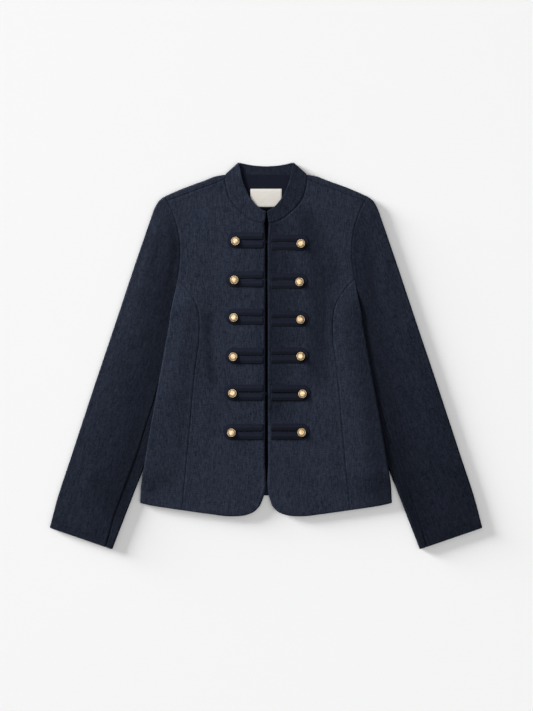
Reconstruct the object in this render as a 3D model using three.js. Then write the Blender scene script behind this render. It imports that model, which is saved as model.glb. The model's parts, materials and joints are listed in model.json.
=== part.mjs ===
import * as THREE from 'three';

// A short open-front jacket with a stand collar and six rows of braid, laid flat on its back.
// Millimetres. X runs across the jacket, Y up it to the collar, and Z off the surface it lies on.
// Every table gives the half on the +X side, with x out from the middle. The other half mirrors it.

// Cloth
const clothWall = 1.8;
const seamGap = 0.3;
const foldRadius = 3.5;
const flatHeight = 2 * foldRadius;

// The body's sides lie on the sleeves from the underarm to just above the hem
const sleeveLift = flatHeight + seamGap;
const liftFull = 19;
const liftSlope = 60;
const liftRows = { top: 137.3, underarm: 79, tuckEnd: -206, hem: -252 };

// Braid, buttons and closure
const braidLift = 0.3;
const braidThickness = 1.6;
const braidHalfHeight = 14.1;
// The middle of a trim lies this far above the middle of its button
const braidAbove = 1.6;
const braidSlot = 2.2;
const slotBeforeButton = 4.9;
const buttonRadius = 7.5;
const buttonHeight = 7;
const wireRadius = 0.3;
const hookHeights = [204.8, 137.6, -68];

// Lining and label
const liningThickness = 1;
const labelWidth = 56;
const labelHeight = 32.4;
const labelTop = 300.2;
const labelThickness = 1;

// The fronts meet a little to the +X side of the middle
const frontShift = 1;

// Half the opening between the front edges
const openingRows = [
  { y: 261.5, half: 0.5 },
  { y: 254.6, half: 0.7 },
  { y: 248, half: 2.4 },
  { y: 241.6, half: 4 },
  { y: 232.6, half: 3.2 },
  { y: 205, half: 1.9 },
  { y: 171, half: 2.3 },
  { y: 137, half: 1.7 },
  { y: 90, half: 2.2 },
  { y: -105, half: 2.4 },
  { y: -247, half: 3.2 },
];

// The armhole seam, from the shoulder fold to the underarm
const armhole = [
  { x: 181.3, y: 286.9 },
  { x: 177, y: 278.5 },
  { x: 167.6, y: 257 },
  { x: 161, y: 237 },
  { x: 156, y: 213 },
  { x: 154.2, y: 192 },
  { x: 155.4, y: 165 },
  { x: 159.2, y: 137.3 },
  { x: 165, y: 110 },
  { x: 169.4, y: 90 },
  { x: 172, y: 77 },
];
const princessStart = 7;

// The side fold, from below the underarm to the hem
const sideFold = [
  { x: 174, y: 58 },
  { x: 178.6, y: 32 },
  { x: 183, y: 8 },
  { x: 187, y: -16 },
  { x: 191.8, y: -41 },
  { x: 204.5, y: -112 },
  { x: 218, y: -192 },
  { x: 225.1, y: -238 },
  { x: 226.2, y: -264.7 },
];

// The princess seam, from below the armhole to the hem
const princessSeam = [
  { x: 147.5, y: 126 },
  { x: 135.5, y: 110.3 },
  { x: 126, y: 94 },
  { x: 121, y: 77 },
  { x: 119.6, y: 50 },
  { x: 120.9, y: 22 },
  { x: 124.8, y: -5 },
  { x: 128.3, y: -33 },
  { x: 135.2, y: -110 },
  { x: 142.7, y: -192 },
  { x: 147.4, y: -238 },
  { x: 151.3, y: -277.5 },
];

// The shoulder: the back wraps over the fold and forward to the seam
const shoulderRows = [
  { foldX: 74.5, foldY: 325.5, seamX: 74, seamY: 318 },
  { foldX: 90, foldY: 322.9, seamX: 88, seamY: 311.4 },
  { foldX: 109.5, foldY: 315.5, seamX: 106, seamY: 304.5 },
  { foldX: 129, foldY: 308.4, seamX: 125, seamY: 297.8 },
  { foldX: 155, foldY: 298.5, seamX: 150, seamY: 288.2 },
  { foldX: 181.3, foldY: 286.9, seamX: 177, seamY: 278.5 },
];

// The stand collar's front: its neck seam below, its top edge above
const collarRows = [
  { neckX: 74, neckY: 318, topX: 47, topY: 340 },
  { neckX: 72.3, neckY: 306, topX: 44.8, topY: 328 },
  { neckX: 69.2, neckY: 292, topX: 41.5, topY: 314 },
  { neckX: 62.5, neckY: 277.5, topX: 36.8, topY: 301 },
  { neckX: 53, neckY: 266, topX: 31, topY: 288.5 },
  { neckX: 41, neckY: 254.8, topX: 23.5, topY: 277.5 },
  { neckX: 28, neckY: 245, topX: 14.3, topY: 267.6 },
  { neckX: 14.5, neckY: 239.5, topX: 6.3, topY: 262.4 },
];
const collarFront = { neckY: 237.8, topY: 259.5 };
const collarFold = { neckX: 74.5, neckY: 325.5, topX: 49.6, topY: 347.7 };
const collarFoldInset = 2.6;

// The back of the neck: the seam below, the collar's top edge above
const backNeckRows = [
  { x: 69.2, neckY: 325.3, topX: 46, topY: 346.6 },
  { x: 37, neckY: 323.9, topX: 25, topY: 342.6 },
  { x: 0, neckY: 323.3, topX: 0, topY: 340.7 },
];

// The hem of each front, from the round corner to the princess seam, and on to the side
const roundCorner = { x: 10.9, y: -269.6 };
const frontHem = [
  { x: 21, y: -280 },
  { x: 37.9, y: -286.7 },
  { x: 60, y: -288.6 },
  { x: 105, y: -284 },
];
const sideHem = [
  { x: 180, y: -273.3 },
  { x: 205, y: -269.4 },
];
const backHemRise = 13.6;

// Where the rows of a centre front meet its front edge, below the collar
const frontEdgeHeights = [203, 168, 135, 90, 40, -20, -105, -190, -247];

// The sleeve: inner fold, outer fold, and the under sleeve's share of the top layer
const sleeveRows = [
  { innerX: 159.2, innerY: 137.3, outerX: 181.3, outerY: 286.9, strip: 0 },
  { innerX: 165, innerY: 110, outerX: 191.8, outerY: 279.5, strip: 0 },
  { innerX: 169.4, innerY: 90, outerX: 200.4, outerY: 265.1, strip: 0 },
  { innerX: 172, innerY: 77, outerX: 208.5, outerY: 243, strip: 0 },
  { innerX: 172.3, innerY: 45, outerX: 222, outerY: 203.9, strip: 14 },
  { innerX: 173.5, innerY: 5, outerX: 237, outerY: 160, strip: 19 },
  { innerX: 178, innerY: -40, outerX: 256, outerY: 103, strip: 22 },
  { innerX: 188, innerY: -90, outerX: 277, outerY: 40, strip: 24 },
  { innerX: 201, innerY: -140, outerX: 303, outerY: -37, strip: 24 },
  { innerX: 218, innerY: -197, outerX: 330, outerY: -119, strip: 23 },
  { innerX: 236, innerY: -243.3, outerX: 352.5, outerY: -187.6, strip: 21.4 },
  { innerX: 256, innerY: -295, outerX: 375, outerY: -256.2, strip: 20 },
  { innerX: 276.4, innerY: -347.9, outerX: 388.9, outerY: -309.2, strip: 11.6 },
];
const elbowInset = 26;
const underarmRow = 3;
const underarmClearance = 5;
const capColumns = 7;

// The middle of each button, by row from the collar down
const buttonRows = [
  { leftX: 55.3, leftY: 206, rightX: 62.4, rightY: 201.7 },
  { leftX: 57.3, leftY: 136.2, rightX: 60, rightY: 132.6 },
  { leftX: 58.2, leftY: 68.8, rightX: 62, rightY: 65 },
  { leftX: 59.3, leftY: -1.6, rightX: 62, rightY: -0.8 },
  { leftX: 60.4, leftY: -67.3, rightX: 65.3, rightY: -68.2 },
  { leftX: 62.2, leftY: -138, rightX: 63.8, rightY: -137.6 },
];
const braidInnerEnd = { left: 4.8, right: 8.7 };

// Round a fold, the section turns through these angles before it lies flat
const foldTurns = [0, 45, 90].map(THREE.MathUtils.degToRad);
const foldSteps = foldTurns.map((turn) => foldRadius * (1 - Math.cos(turn)));

// A corner that turns by less than this sine counts as straight
const straightTurn = 0.02;

// A row that meets its fold more aslant than this cosine is treated as if it met it at this slant
const mostAslant = 0.3;

const cloth = { color: 0x262a37, roughness: 0.95, metalness: 0 };
const collarCloth = { color: 0x282c38, roughness: 0.95, metalness: 0 };
const liningCloth = { color: 0x1b1c28, roughness: 0.6, metalness: 0 };
const labelCloth = { color: 0xdad6cf, roughness: 0.8, metalness: 0 };
const braidCloth = { color: 0x1e212c, roughness: 0.9, metalness: 0 };
const brass = { color: 0xd8b878, roughness: 0.3, metalness: 1 };
const wire = { color: 0x8f9094, roughness: 0.35, metalness: 1 };

const flat = (x, y) => new THREE.Vector2(x, y);
const lerp = THREE.MathUtils.lerp;
const asPoints = (rows) => rows.map((row) => flat(row.x, row.y));

function toward(from, to, distance) {
  const step = to.clone().sub(from);
  return from.clone().addScaledVector(step.normalize(), distance);
}

// A value read from a table whose rows run down the jacket
function readDown(rows, y, column) {
  if (y >= rows[0].y) return rows[0][column];
  for (let i = 1; i < rows.length; i += 1) {
    if (y >= rows[i].y) {
      const share = (rows[i - 1].y - y) / (rows[i - 1].y - rows[i].y);
      return lerp(rows[i - 1][column], rows[i][column], share);
    }
  }
  return rows[rows.length - 1][column];
}

// The point at a share of a line's corners
function along(line, share) {
  const place = THREE.MathUtils.clamp(share, 0, 1) * (line.length - 1);
  const start = Math.min(Math.floor(place), Math.max(line.length - 2, 0));
  const end = Math.min(start + 1, line.length - 1);
  return line[start].clone().lerp(line[end], place - start);
}

// How far the body is raised where its sides lie on the sleeves
function liftAt(x, y) {
  const outline = [...armhole.slice(princessStart), ...sideFold];
  const inward = readDown(outline, y, 'x') - Math.abs(x);
  const across = 1 - THREE.MathUtils.smoothstep(inward, liftFull, liftFull + liftSlope);
  const down = 1 - THREE.MathUtils.smoothstep(y, liftRows.underarm, liftRows.top);
  const up = THREE.MathUtils.smoothstep(y, liftRows.hem, liftRows.tuckEnd);
  return sleeveLift * across * down * up;
}

// How far an edge is rolled closed: not at all along the armhole, wholly from the underarm down
function rollAt(y) {
  return 1 - THREE.MathUtils.smoothstep(y, liftRows.underarm, liftRows.top);
}

// The outer and inner point of the cloth above or below one place.
// edge is the distance to a fold, outward the way out over that fold, and roll how far it turns.
function clothPoint(place, options) {
  const defaults = { up: 1, edge: foldRadius, outward: flat(1, 0), roll: 1, lifted: true, seam: false };
  const { up, edge, outward, roll, lifted, seam } = { ...defaults, ...options };
  const steepest = seam ? Math.sqrt(1 - (seamGap / 2 / foldRadius) ** 2) : 1;
  const lean = THREE.MathUtils.clamp(1 - edge / foldRadius, 0, steepest);
  const rise = 1 - roll + roll * Math.sqrt(1 - lean * lean);
  const normal = new THREE.Vector3(outward.x * roll * lean, outward.y * roll * lean, up * rise);
  const outer = new THREE.Vector3(place.x, place.y, foldRadius + up * foldRadius * rise);
  const inner = outer.clone().addScaledVector(normal.normalize(), -clothWall);
  const raised = lifted ? liftAt(place.x, place.y) : 0;
  outer.z += raised;
  inner.z += raised;
  return { outer, inner };
}

// One closed wall from rows of outer and inner points. keep tells which cells hold cloth.
function wall(grid, keep = () => true) {
  const rows = grid.length - 1;
  const columns = grid[0].length - 1;
  const kept = (i, j) => i >= 0 && j >= 0 && i < rows && j < columns && keep(i, j);
  const vertices = [];
  const numbers = new Map();
  const faces = [];
  const number = (point) => {
    const key = point.toArray().map((value) => value.toFixed(3)).join();
    if (!numbers.has(key)) {
      numbers.set(key, vertices.length / 3);
      vertices.push(...point.toArray());
    }
    return numbers.get(key);
  };
  const triangle = (...points) => {
    const corners = points.map(number);
    if (new Set(corners).size === 3) faces.push(...corners);
  };
  const quad = (a, b, c, d) => {
    triangle(a, b, c);
    triangle(a, c, d);
  };
  const rim = (from, to) => quad(to.outer, from.outer, from.inner, to.inner);
  for (let i = 0; i < rows; i += 1) {
    for (let j = 0; j < columns; j += 1) {
      if (!kept(i, j)) continue;
      const [a, b, c, d] = [grid[i][j], grid[i][j + 1], grid[i + 1][j + 1], grid[i + 1][j]];
      quad(a.outer, b.outer, c.outer, d.outer);
      quad(d.inner, c.inner, b.inner, a.inner);
      if (!kept(i - 1, j)) rim(a, b);
      if (!kept(i, j + 1)) rim(b, c);
      if (!kept(i + 1, j)) rim(c, d);
      if (!kept(i, j - 1)) rim(d, a);
    }
  }
  return closedBody(vertices, faces);
}

// A geometry from vertices and faces, turned so that its faces point out
function closedBody(vertices, faces) {
  let volume = 0;
  const corner = (k) => new THREE.Vector3().fromArray(vertices, 3 * k);
  for (let k = 0; k < faces.length; k += 3) {
    volume += corner(faces[k]).dot(corner(faces[k + 1]).cross(corner(faces[k + 2])));
  }
  const geometry = new THREE.BufferGeometry();
  geometry.setAttribute('position', new THREE.Float32BufferAttribute(vertices, 3));
  geometry.setIndex(volume > 0 ? faces : faces.reverse());
  return geometry;
}

// The four sides of a panel moved in by half a seam's gap. A side of gap 0 stays.
function insetSides(sides, gaps = {}) {
  const { top, right, bottom, left } = sides;
  const loop = [];
  const distances = [];
  const take = (line, side) => {
    for (const point of line.slice(0, -1)) {
      loop.push(point);
      distances.push(gaps[side] ?? seamGap / 2);
    }
  };
  take(top, 'top');
  take(right, 'right');
  take([...bottom].reverse(), 'bottom');
  take([...left].reverse(), 'left');
  const size = loop.length;
  const area = loop.reduce((sum, point, k) => sum + point.cross(loop[(k + 1) % size]), 0);
  const inward = Math.sign(area);
  const moved = loop.map((point, k) => {
    const before = (k + size - 1) % size;
    const normals = [before, k].map((start) => {
      const edge = loop[(start + 1) % size].clone().sub(loop[start]).normalize();
      return flat(-edge.y * inward, edge.x * inward);
    });
    const [a, b] = normals;
    const turn = a.cross(b);
    const distance = (distances[before] + distances[k]) / 2;
    if (Math.abs(turn) < straightTurn) return point.clone().addScaledVector(a, distance);
    const shift = flat(
      (distances[before] * b.y - distances[k] * a.y) / turn,
      (distances[k] * a.x - distances[before] * b.x) / turn,
    );
    return point.clone().add(shift);
  });
  const part = (start, count) => Array.from({ length: count }, (_, k) => moved[(start + k) % size]);
  const rightStart = top.length - 1;
  const bottomStart = rightStart + right.length - 1;
  const leftStart = bottomStart + bottom.length - 1;
  return {
    top: part(0, top.length),
    right: part(rightStart, right.length),
    bottom: part(bottomStart, bottom.length).reverse(),
    left: part(leftStart, left.length).reverse(),
  };
}

// The place at share across and row i of a panel with four sides
function fillSides({ top, right, bottom, left }) {
  return (share, i) => {
    const down = i / (left.length - 1);
    const place = along(top, share).multiplyScalar(1 - down);
    place.addScaledVector(along(bottom, share), down);
    place.addScaledVector(left[i], 1 - share).addScaledVector(right[i], share);
    place.addScaledVector(left[0], -(1 - share) * (1 - down));
    place.addScaledVector(right[0], -share * (1 - down));
    place.addScaledVector(left[left.length - 1], -(1 - share) * down);
    place.addScaledVector(right[right.length - 1], -share * down);
    return place;
  };
}

// The way out over a fold at row i, and how much longer the row is than the distance to the fold
function foldFrame(line, i, rowOut, straight) {
  if (straight) return { outward: rowOut, stretch: 1 };
  const tangent = line[Math.min(i + 1, line.length - 1)].clone().sub(line[Math.max(i - 1, 0)]).normalize();
  const outward = flat(-tangent.y, tangent.x);
  if (outward.dot(rowOut) < 0) outward.negate();
  return { outward, stretch: 1 / Math.max(outward.dot(rowOut), mostAslant) };
}

const mirrored = (line) => line.map((point) => flat(-point.x, point.y));
const neckLine = () => collarRows.map((row) => flat(row.neckX, row.neckY));
const halfOpening = (y, side) => readDown(openingRows, y, 'half') + side * frontShift;

// A centre front: shoulder seam on top, neck seam and front edge inside, armhole and princess seam outside
function centreFront(side) {
  const top = shoulderRows.map((row) => flat(row.seamX, row.seamY));
  const edge = [collarFront.neckY, ...frontEdgeHeights].map((y) => flat(halfOpening(y, side), y));
  const left = [...neckLine(), ...edge, flat(roundCorner.x, roundCorner.y)];
  const right = [...asPoints(armhole.slice(1, princessStart + 1)), ...asPoints(princessSeam)];
  const hemEnd = princessSeam[princessSeam.length - 1];
  const bottom = asPoints([roundCorner, ...frontHem, hemEnd]);
  const place = fillSides(insetSides({ top, right, bottom, left }));
  const columns = top.length - 1;
  const grid = left.map((_, i) => top.map((_point, j) => clothPoint(place(j / columns, i), {})));
  return wall(grid);
}

// A side front: its tip is at the armhole, and its outer edge rolls over the side fold
function sideFront() {
  const outer = [...asPoints(armhole.slice(princessStart)), ...asPoints(sideFold)];
  const inner = asPoints([armhole[princessStart], ...princessSeam]);
  const bottom = asPoints([...princessSeam.slice(-1), ...sideHem, ...sideFold.slice(-1)]);
  const sides = insetSides({ top: [outer[0]], right: outer, bottom, left: inner });
  const place = fillSides(sides);
  const shares = [0, 1 / 3, 2 / 3];
  const grid = sides.left.map((start, i) => {
    const end = sides.right[i];
    const width = start.distanceTo(end);
    const roll = rollAt(end.y);
    if (width < seamGap) return [...shares, ...foldSteps].map(() => clothPoint(start, { roll: 0 }));
    const rowOut = end.clone().sub(start).normalize();
    const { outward, stretch } = foldFrame(sides.right, i, rowOut, false);
    const flatPart = shares.map((share) => clothPoint(place(share, i), {}));
    const rolled = [...foldSteps].reverse().map((edge) => {
      const share = 1 - (edge * stretch) / width;
      return clothPoint(place(share, i), { edge, outward, roll, seam: true });
    });
    return [...flatPart, ...rolled];
  });
  return wall(grid);
}

// The shoulder and back neck as columns from the armhole in to the middle
function backColumns() {
  const ends = shoulderRows.map((row) => ({
    fold: flat(row.foldX, row.foldY),
    seam: flat(row.seamX, row.seamY),
  }));
  const last = ends.length - 1;
  const shifted = ends.map(({ fold, seam }, k) => {
    if (k !== 0 && k !== last) return { fold, seam };
    const next = ends[k === 0 ? 1 : last - 1];
    return { fold: toward(fold, next.fold, seamGap / 2), seam: toward(seam, next.seam, seamGap / 2) };
  });
  const shoulder = shifted.reverse().map(({ fold, seam }) => ({
    fold,
    seam: toward(seam, fold, seamGap / 2),
    roll: 1,
  }));
  const neck = backNeckRows.map((row) => {
    const fold = flat(row.x, row.neckY - seamGap / 2);
    return { fold, seam: flat(row.x, row.neckY - foldRadius * 2), roll: 0 };
  });
  const half = [...shoulder, ...neck];
  const flipped = half.slice(0, -1).reverse();
  const mirrorColumn = ({ fold, seam, roll }) => ({
    fold: flat(-fold.x, fold.y),
    seam: flat(-seam.x, seam.y),
    roll,
  });
  return [...half.map(mirrorColumn), ...flipped];
}

// The back: flat on the surface, rolled up at its side folds and wrapped forward over the shoulders
function back() {
  const columns = backColumns();
  const inFrom = ({ fold, seam }, edge) => toward(fold, seam, edge);
  const top = columns.map((column) => inFrom(column, foldRadius));
  const outer = [...asPoints(armhole.slice(1)), ...asPoints(sideFold)];
  const right = [top[top.length - 1], ...outer];
  const corner = outer[outer.length - 1];
  const bottom = columns.map((_, j) => {
    const x = lerp(-corner.x, corner.x, j / (columns.length - 1));
    return flat(x, corner.y + backHemRise * (1 - (x / corner.x) ** 2));
  });
  const sides = insetSides({ top, right, bottom, left: mirrored(right) }, { top: 0 });
  const place = fillSides(sides);
  const lastColumn = columns.length - 1;
  const shares = columns.map((_, j) => j / lastColumn);
  const spread = (i) => {
    const width = sides.left[i].distanceTo(sides.right[i]);
    const steps = foldSteps.map((edge) => edge / width);
    const others = shares.slice(1, -1);
    return [...steps, ...others, ...[...steps].reverse().map((step) => 1 - step)];
  };
  const edges = [...foldSteps, ...shares.slice(1, -1).map(() => foldRadius), ...[...foldSteps].reverse()];
  const middle = edges.length / 2;
  const mainRows = sides.left.map((_, i) => spread(i).map((share, j) => {
    const here = place(share, i);
    const outward = flat(j < middle ? -1 : 1, 0);
    return clothPoint(here, { up: -1, edge: edges[j], outward, roll: rollAt(here.y) });
  }));
  const topShares = spread(0);
  const columnAt = (share) => {
    const at = (key) => along(columns.map((column) => column[key]), share);
    const nearest = columns[Math.round(share * lastColumn)];
    return { fold: at('fold'), seam: at('seam'), roll: nearest.roll };
  };
  const foldRow = (edge, up) => topShares.map((share) => {
    const column = columnAt(share);
    const outward = toward(flat(0, 0), column.fold.clone().sub(column.seam), 1);
    return clothPoint(inFrom(column, edge), { up, edge, outward, roll: column.roll, lifted: false });
  });
  const seamRow = topShares.map((share) => clothPoint(columnAt(share).seam, { lifted: false }));
  const over = [
    seamRow,
    foldRow(foldSteps[2], 1),
    foldRow(foldSteps[1], 1),
    foldRow(foldSteps[0], 1),
    foldRow(foldSteps[1], -1),
  ];
  const grid = [...over, ...mainRows];
  const neckStart = foldSteps.length + shoulderRows.length - 2;
  const neckEnd = edges.length - 1 - neckStart;
  const overRows = 3;
  const keep = (i, j) => i >= overRows || j < neckStart || j >= neckEnd;
  return wall(grid, keep);
}

// The share of a sleeve's row that tells which way the row runs at its folds
const edgeShare = 0.02;

// The rows of a sleeve in plan, inset at the armhole
function sleevePlan() {
  const left = sleeveRows.map((row) => flat(row.innerX, row.innerY));
  const right = sleeveRows.map((row) => flat(row.outerX, row.outerY));
  const top = asPoints(armhole.slice(0, princessStart + 1)).reverse();
  const bottom = [left[left.length - 1], right[right.length - 1]];
  const sides = insetSides({ top, right, bottom, left });
  const place = fillSides(sides);
  return sleeveRows.map((row, i) => {
    const width = sides.left[i].distanceTo(sides.right[i]);
    const direction = (from, to) => toward(flat(0, 0), place(to, i).sub(place(from, i)), 1);
    const innerOut = direction(edgeShare, 0);
    const outerOut = direction(1 - edgeShare, 1);
    return {
      width,
      strip: row.strip,
      at: (share) => place(share, i),
      inner: { ...foldFrame(sides.left, i, innerOut, false), roll: rollAt(sides.left[i].y) },
      outer: { ...foldFrame(sides.right, i, outerOut, i === 0), roll: 1 },
    };
  });
}

function elbowShare(row, i) {
  if (i > 0) return 1 - elbowInset / row.width;
  const [, seamEnd, next] = asPoints(armhole.slice(0, 3));
  const shoulderStep = asPoints(armhole)[0].distanceTo(seamEnd);
  return 1 - (1 + (elbowInset - shoulderStep) / seamEnd.distanceTo(next)) / capColumns;
}

function foldPoint(row, fold, edge, up) {
  const frame = row[fold];
  const reach = (edge * frame.stretch) / row.width;
  const share = fold === 'outer' ? 1 - reach : reach;
  const { outward, roll } = frame;
  return clothPoint(row.at(share), { up, edge, outward, roll, lifted: false });
}

// Shares of the cap line are by corner, so the first and last steps on it are read as lengths
function capShare(distance, first) {
  return distance / first / capColumns;
}

// Underneath, the share of the way from the elbow seam to the outer fold at the middle row of points
const edgeBand = 0.3;

// A top sleeve: from the front seam over the outer fold to the elbow seam underneath
function topSleeve() {
  const cap = asPoints(armhole.slice(0, princessStart + 1));
  const shoulderStep = cap[0].distanceTo(cap[1]);
  const grid = sleevePlan().map((row, i) => {
    const gap = i <= underarmRow + 1 ? underarmClearance : seamGap / 2;
    const seam = (row.strip + gap) / row.width;
    const { outward, stretch } = row.outer;
    const reach = (edge) => (i === 0 ? capShare(edge, shoulderStep) : (edge * stretch) / row.width);
    const turn = (edge, up) => clothPoint(row.at(1 - reach(edge)), { up, edge, outward, lifted: false });
    const onArmhole = i < underarmRow;
    const start = onArmhole ? 0 : seam;
    const closing = onArmhole ? { ...row.inner, edge: 0 } : {};
    const first = clothPoint(row.at(start), { outward, ...closing, lifted: false, seam: true });
    const across = Array.from({ length: capColumns - 1 }, (_, k) => lerp(start, 1, (k + 1) / capColumns));
    const seamBelow = elbowShare(row, i) + seamGap / 2 / row.width;
    const lastAbove = lerp(start, 1, (capColumns - 1) / capColumns);
    const middleBelow = Math.max(lastAbove, lerp(seamBelow, 1, edgeBand));
    return [
      first,
      ...across.map((share) => clothPoint(row.at(share), { lifted: false })),
      turn(foldSteps[2], 1),
      turn(foldSteps[1], 1),
      turn(foldSteps[0], 1),
      turn(foldSteps[1], -1),
      turn(foldSteps[2], -1),
      clothPoint(row.at(middleBelow), { up: -1, lifted: false }),
      clothPoint(row.at(seamBelow), { up: -1, lifted: false }),
    ];
  });
  return wall(grid);
}

// An under sleeve: from the elbow seam along the surface, over the inner fold to the front seam on top
function underSleeve() {
  const grid = sleevePlan().map((row, i) => {
    const seam = row.strip - seamGap / 2;
    const below = elbowShare(row, i);
    const scale = below / elbowShare(row, 0);
    const shares = [];
    for (let k = capColumns - 2; k > 0; k -= 1) shares.push((k / capColumns) * scale);
    const fold = foldPoint(row, 'inner', 0, -1);
    const topStrip = (edge) => {
      if (row.strip === 0) return fold;
      return foldPoint(row, 'inner', Math.min(edge, foldRadius), 1);
    };
    return [
      clothPoint(row.at(below - seamGap / 2 / row.width), { up: -1, lifted: false }),
      ...shares.map((share) => clothPoint(row.at(share), { up: -1, lifted: false })),
      foldPoint(row, 'inner', foldSteps[2], -1),
      foldPoint(row, 'inner', foldSteps[1], -1),
      fold,
      topStrip(foldSteps[1]),
      topStrip(foldSteps[2]),
      row.strip === 0 ? fold : clothPoint(row.at(seam / row.width), { lifted: false }),
    ];
  });
  return wall(grid);
}

// The stand collar: its front halves face up, and its back half lies under them, folded at each side
function collar() {
  const bands = [0, 1 / 3, 2 / 3, 1];
  const { neckX, neckY, topX, topY } = collarFold;
  const foldNeck = toward(flat(neckX, neckY), flat(topX, topY), collarFoldInset);
  const foldTop = flat(topX, topY);
  const section = (neck, top) => {
    const seam = toward(neck, top, seamGap / 2);
    return bands.map((share) => seam.clone().lerp(top, share));
  };
  const foldSection = bands.map((share) => foldNeck.clone().lerp(foldTop, share));
  const foldOut = toward(flat(0, 0), flat(topY - neckY, neckX - topX), 1);
  const frontHalf = (side) => {
    const ends = collarRows.map((row) => section(flat(row.neckX, row.neckY), flat(row.topX, row.topY)));
    const front = bands.map((share) => {
      const y = lerp(collarFront.neckY + seamGap / 2, collarFront.topY, share);
      return flat(halfOpening(y, side), y);
    });
    return [...ends, front];
  };
  const backHalf = backNeckRows.map((row) => bands.map((share) => flat(
    lerp(row.x, row.topX, share),
    lerp(row.neckY + seamGap / 2, row.topY, share),
  )));
  const turnFrom = (next, edge, up) => foldSection.map((place, k) => {
    const depth = foldOut.dot(place.clone().sub(next[k]));
    const here = place.clone().lerp(next[k], edge / Math.max(depth, foldRadius));
    return { here, edge, up, outward: foldOut };
  });
  const level = (places, up) => places.map((here) => ({ here, edge: foldRadius, up, outward: foldOut }));
  const halfStrip = (side) => {
    const front = frontHalf(side);
    const strip = [
      ...[...front].reverse().map((places) => level(places, 1)),
      turnFrom(front[0], foldSteps[2], 1),
      turnFrom(front[0], foldSteps[1], 1),
      turnFrom(front[0], foldSteps[0], 1),
      turnFrom(backHalf[1], foldSteps[1], -1),
      turnFrom(backHalf[1], foldSteps[2], -1),
      ...backHalf.slice(1).map((places) => level(places, -1)),
    ];
    return strip.map((column) => column.map(({ here, edge, up, outward }) => clothPoint(
      flat(side * here.x, here.y),
      { up, edge, outward: flat(side * outward.x, outward.y), lifted: false },
    )));
  };
  const rightHalf = halfStrip(1);
  const leftHalf = halfStrip(-1);
  return wall([...leftHalf, ...rightHalf.slice(0, -1).reverse()]);
}

// A flat plate of cloth from an outline
function plate(outline, thickness, height) {
  const shape = new THREE.Shape(outline);
  const geometry = new THREE.ExtrudeGeometry(shape, { depth: thickness, bevelEnabled: false });
  return geometry.translate(0, 0, height);
}

const liningHeight = clothWall + seamGap;

function backLining() {
  const half = [
    flat(0, 321.5),
    flat(37, 321.8),
    flat(62, 320),
    flat(80, 311),
    flat(82, 290),
    flat(64, 150),
    flat(64, -226),
  ];
  const outline = [...half, ...mirrored(half.slice(1)).reverse()];
  return plate(outline, liningThickness, liningHeight);
}

function label() {
  const bottom = labelTop - labelHeight;
  const half = labelWidth / 2;
  const outline = [flat(-half, bottom), flat(half, bottom), flat(half, labelTop), flat(-half, labelTop)];
  return plate(outline, labelThickness, liningHeight + liningThickness + seamGap);
}

// A braid trim: a ribbon folded in a round end about its button, with a slot between its two legs
function braid(innerEnd, buttonX, buttonY) {
  const slotEnd = buttonX - slotBeforeButton;
  const shape = new THREE.Shape();
  shape.moveTo(innerEnd, braidSlot / 2);
  shape.lineTo(slotEnd, braidSlot / 2);
  shape.lineTo(slotEnd, -braidSlot / 2);
  shape.lineTo(innerEnd, -braidSlot / 2);
  shape.lineTo(innerEnd, -braidHalfHeight);
  shape.lineTo(buttonX, -braidHalfHeight);
  shape.absarc(buttonX, 0, braidHalfHeight, -Math.PI / 2, Math.PI / 2, false);
  shape.lineTo(innerEnd, braidHalfHeight);
  const settings = { depth: braidThickness, bevelEnabled: false, curveSegments: 10 };
  const geometry = new THREE.ExtrudeGeometry(shape, settings);
  return geometry.translate(0, buttonY + braidAbove, flatHeight + braidLift);
}

function button() {
  const rimHeight = 2.2;
  const dome = buttonHeight - rimHeight;
  const profile = [
    flat(0, 0),
    flat(buttonRadius - 2, 0),
    flat(buttonRadius, 1.2),
    flat(buttonRadius, rimHeight),
  ];
  for (const turn of [25, 50, 72]) {
    const angle = THREE.MathUtils.degToRad(turn);
    profile.push(flat(buttonRadius * Math.cos(angle), rimHeight + dome * Math.sin(angle)));
  }
  profile.push(flat(0, buttonHeight));
  return new THREE.LatheGeometry(profile, 14).rotateX(Math.PI / 2);
}

// A bent wire lying level, through points given by x and y
function bentWire(points, height) {
  const path = new THREE.CatmullRomCurve3(points.map(([x, y]) => new THREE.Vector3(x, y, height)));
  const section = new THREE.Shape();
  section.absarc(0, 0, wireRadius, 0, 2 * Math.PI, false);
  return new THREE.ExtrudeGeometry(section, { steps: 10, extrudePath: path, curveSegments: 3 });
}

const group = new THREE.Group();

function add(name, geometry, look, { x = 0, y = 0, z = 0, mirror = false } = {}) {
  const shape = mirror ? mirrorShape(geometry) : geometry;
  const mesh = new THREE.Mesh(shape, new THREE.MeshStandardMaterial(look));
  mesh.name = name;
  mesh.position.set(x, y, z);
  group.add(mesh);
}

// The same geometry on the other side of the middle, with its faces still pointing out
function mirrorShape(geometry) {
  const flipped = geometry.index ? geometry.toNonIndexed() : geometry.clone();
  const position = flipped.getAttribute('position');
  const turned = [];
  for (let k = 0; k < position.count; k += 3) {
    for (const corner of [k, k + 2, k + 1]) {
      turned.push(-position.getX(corner), position.getY(corner), position.getZ(corner));
    }
  }
  const result = new THREE.BufferGeometry();
  result.setAttribute('position', new THREE.Float32BufferAttribute(turned, 3));
  return result;
}

// Left and right are the wearer's, so the wearer's left is on the +X side
const wearerSides = [
  { name: 'left', side: 1, mirror: false },
  { name: 'right', side: -1, mirror: true },
];

add('back', back(), cloth);
add('back_lining', backLining(), liningCloth);
add('collar', collar(), collarCloth);
add('neck_label', label(), labelCloth);

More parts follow.
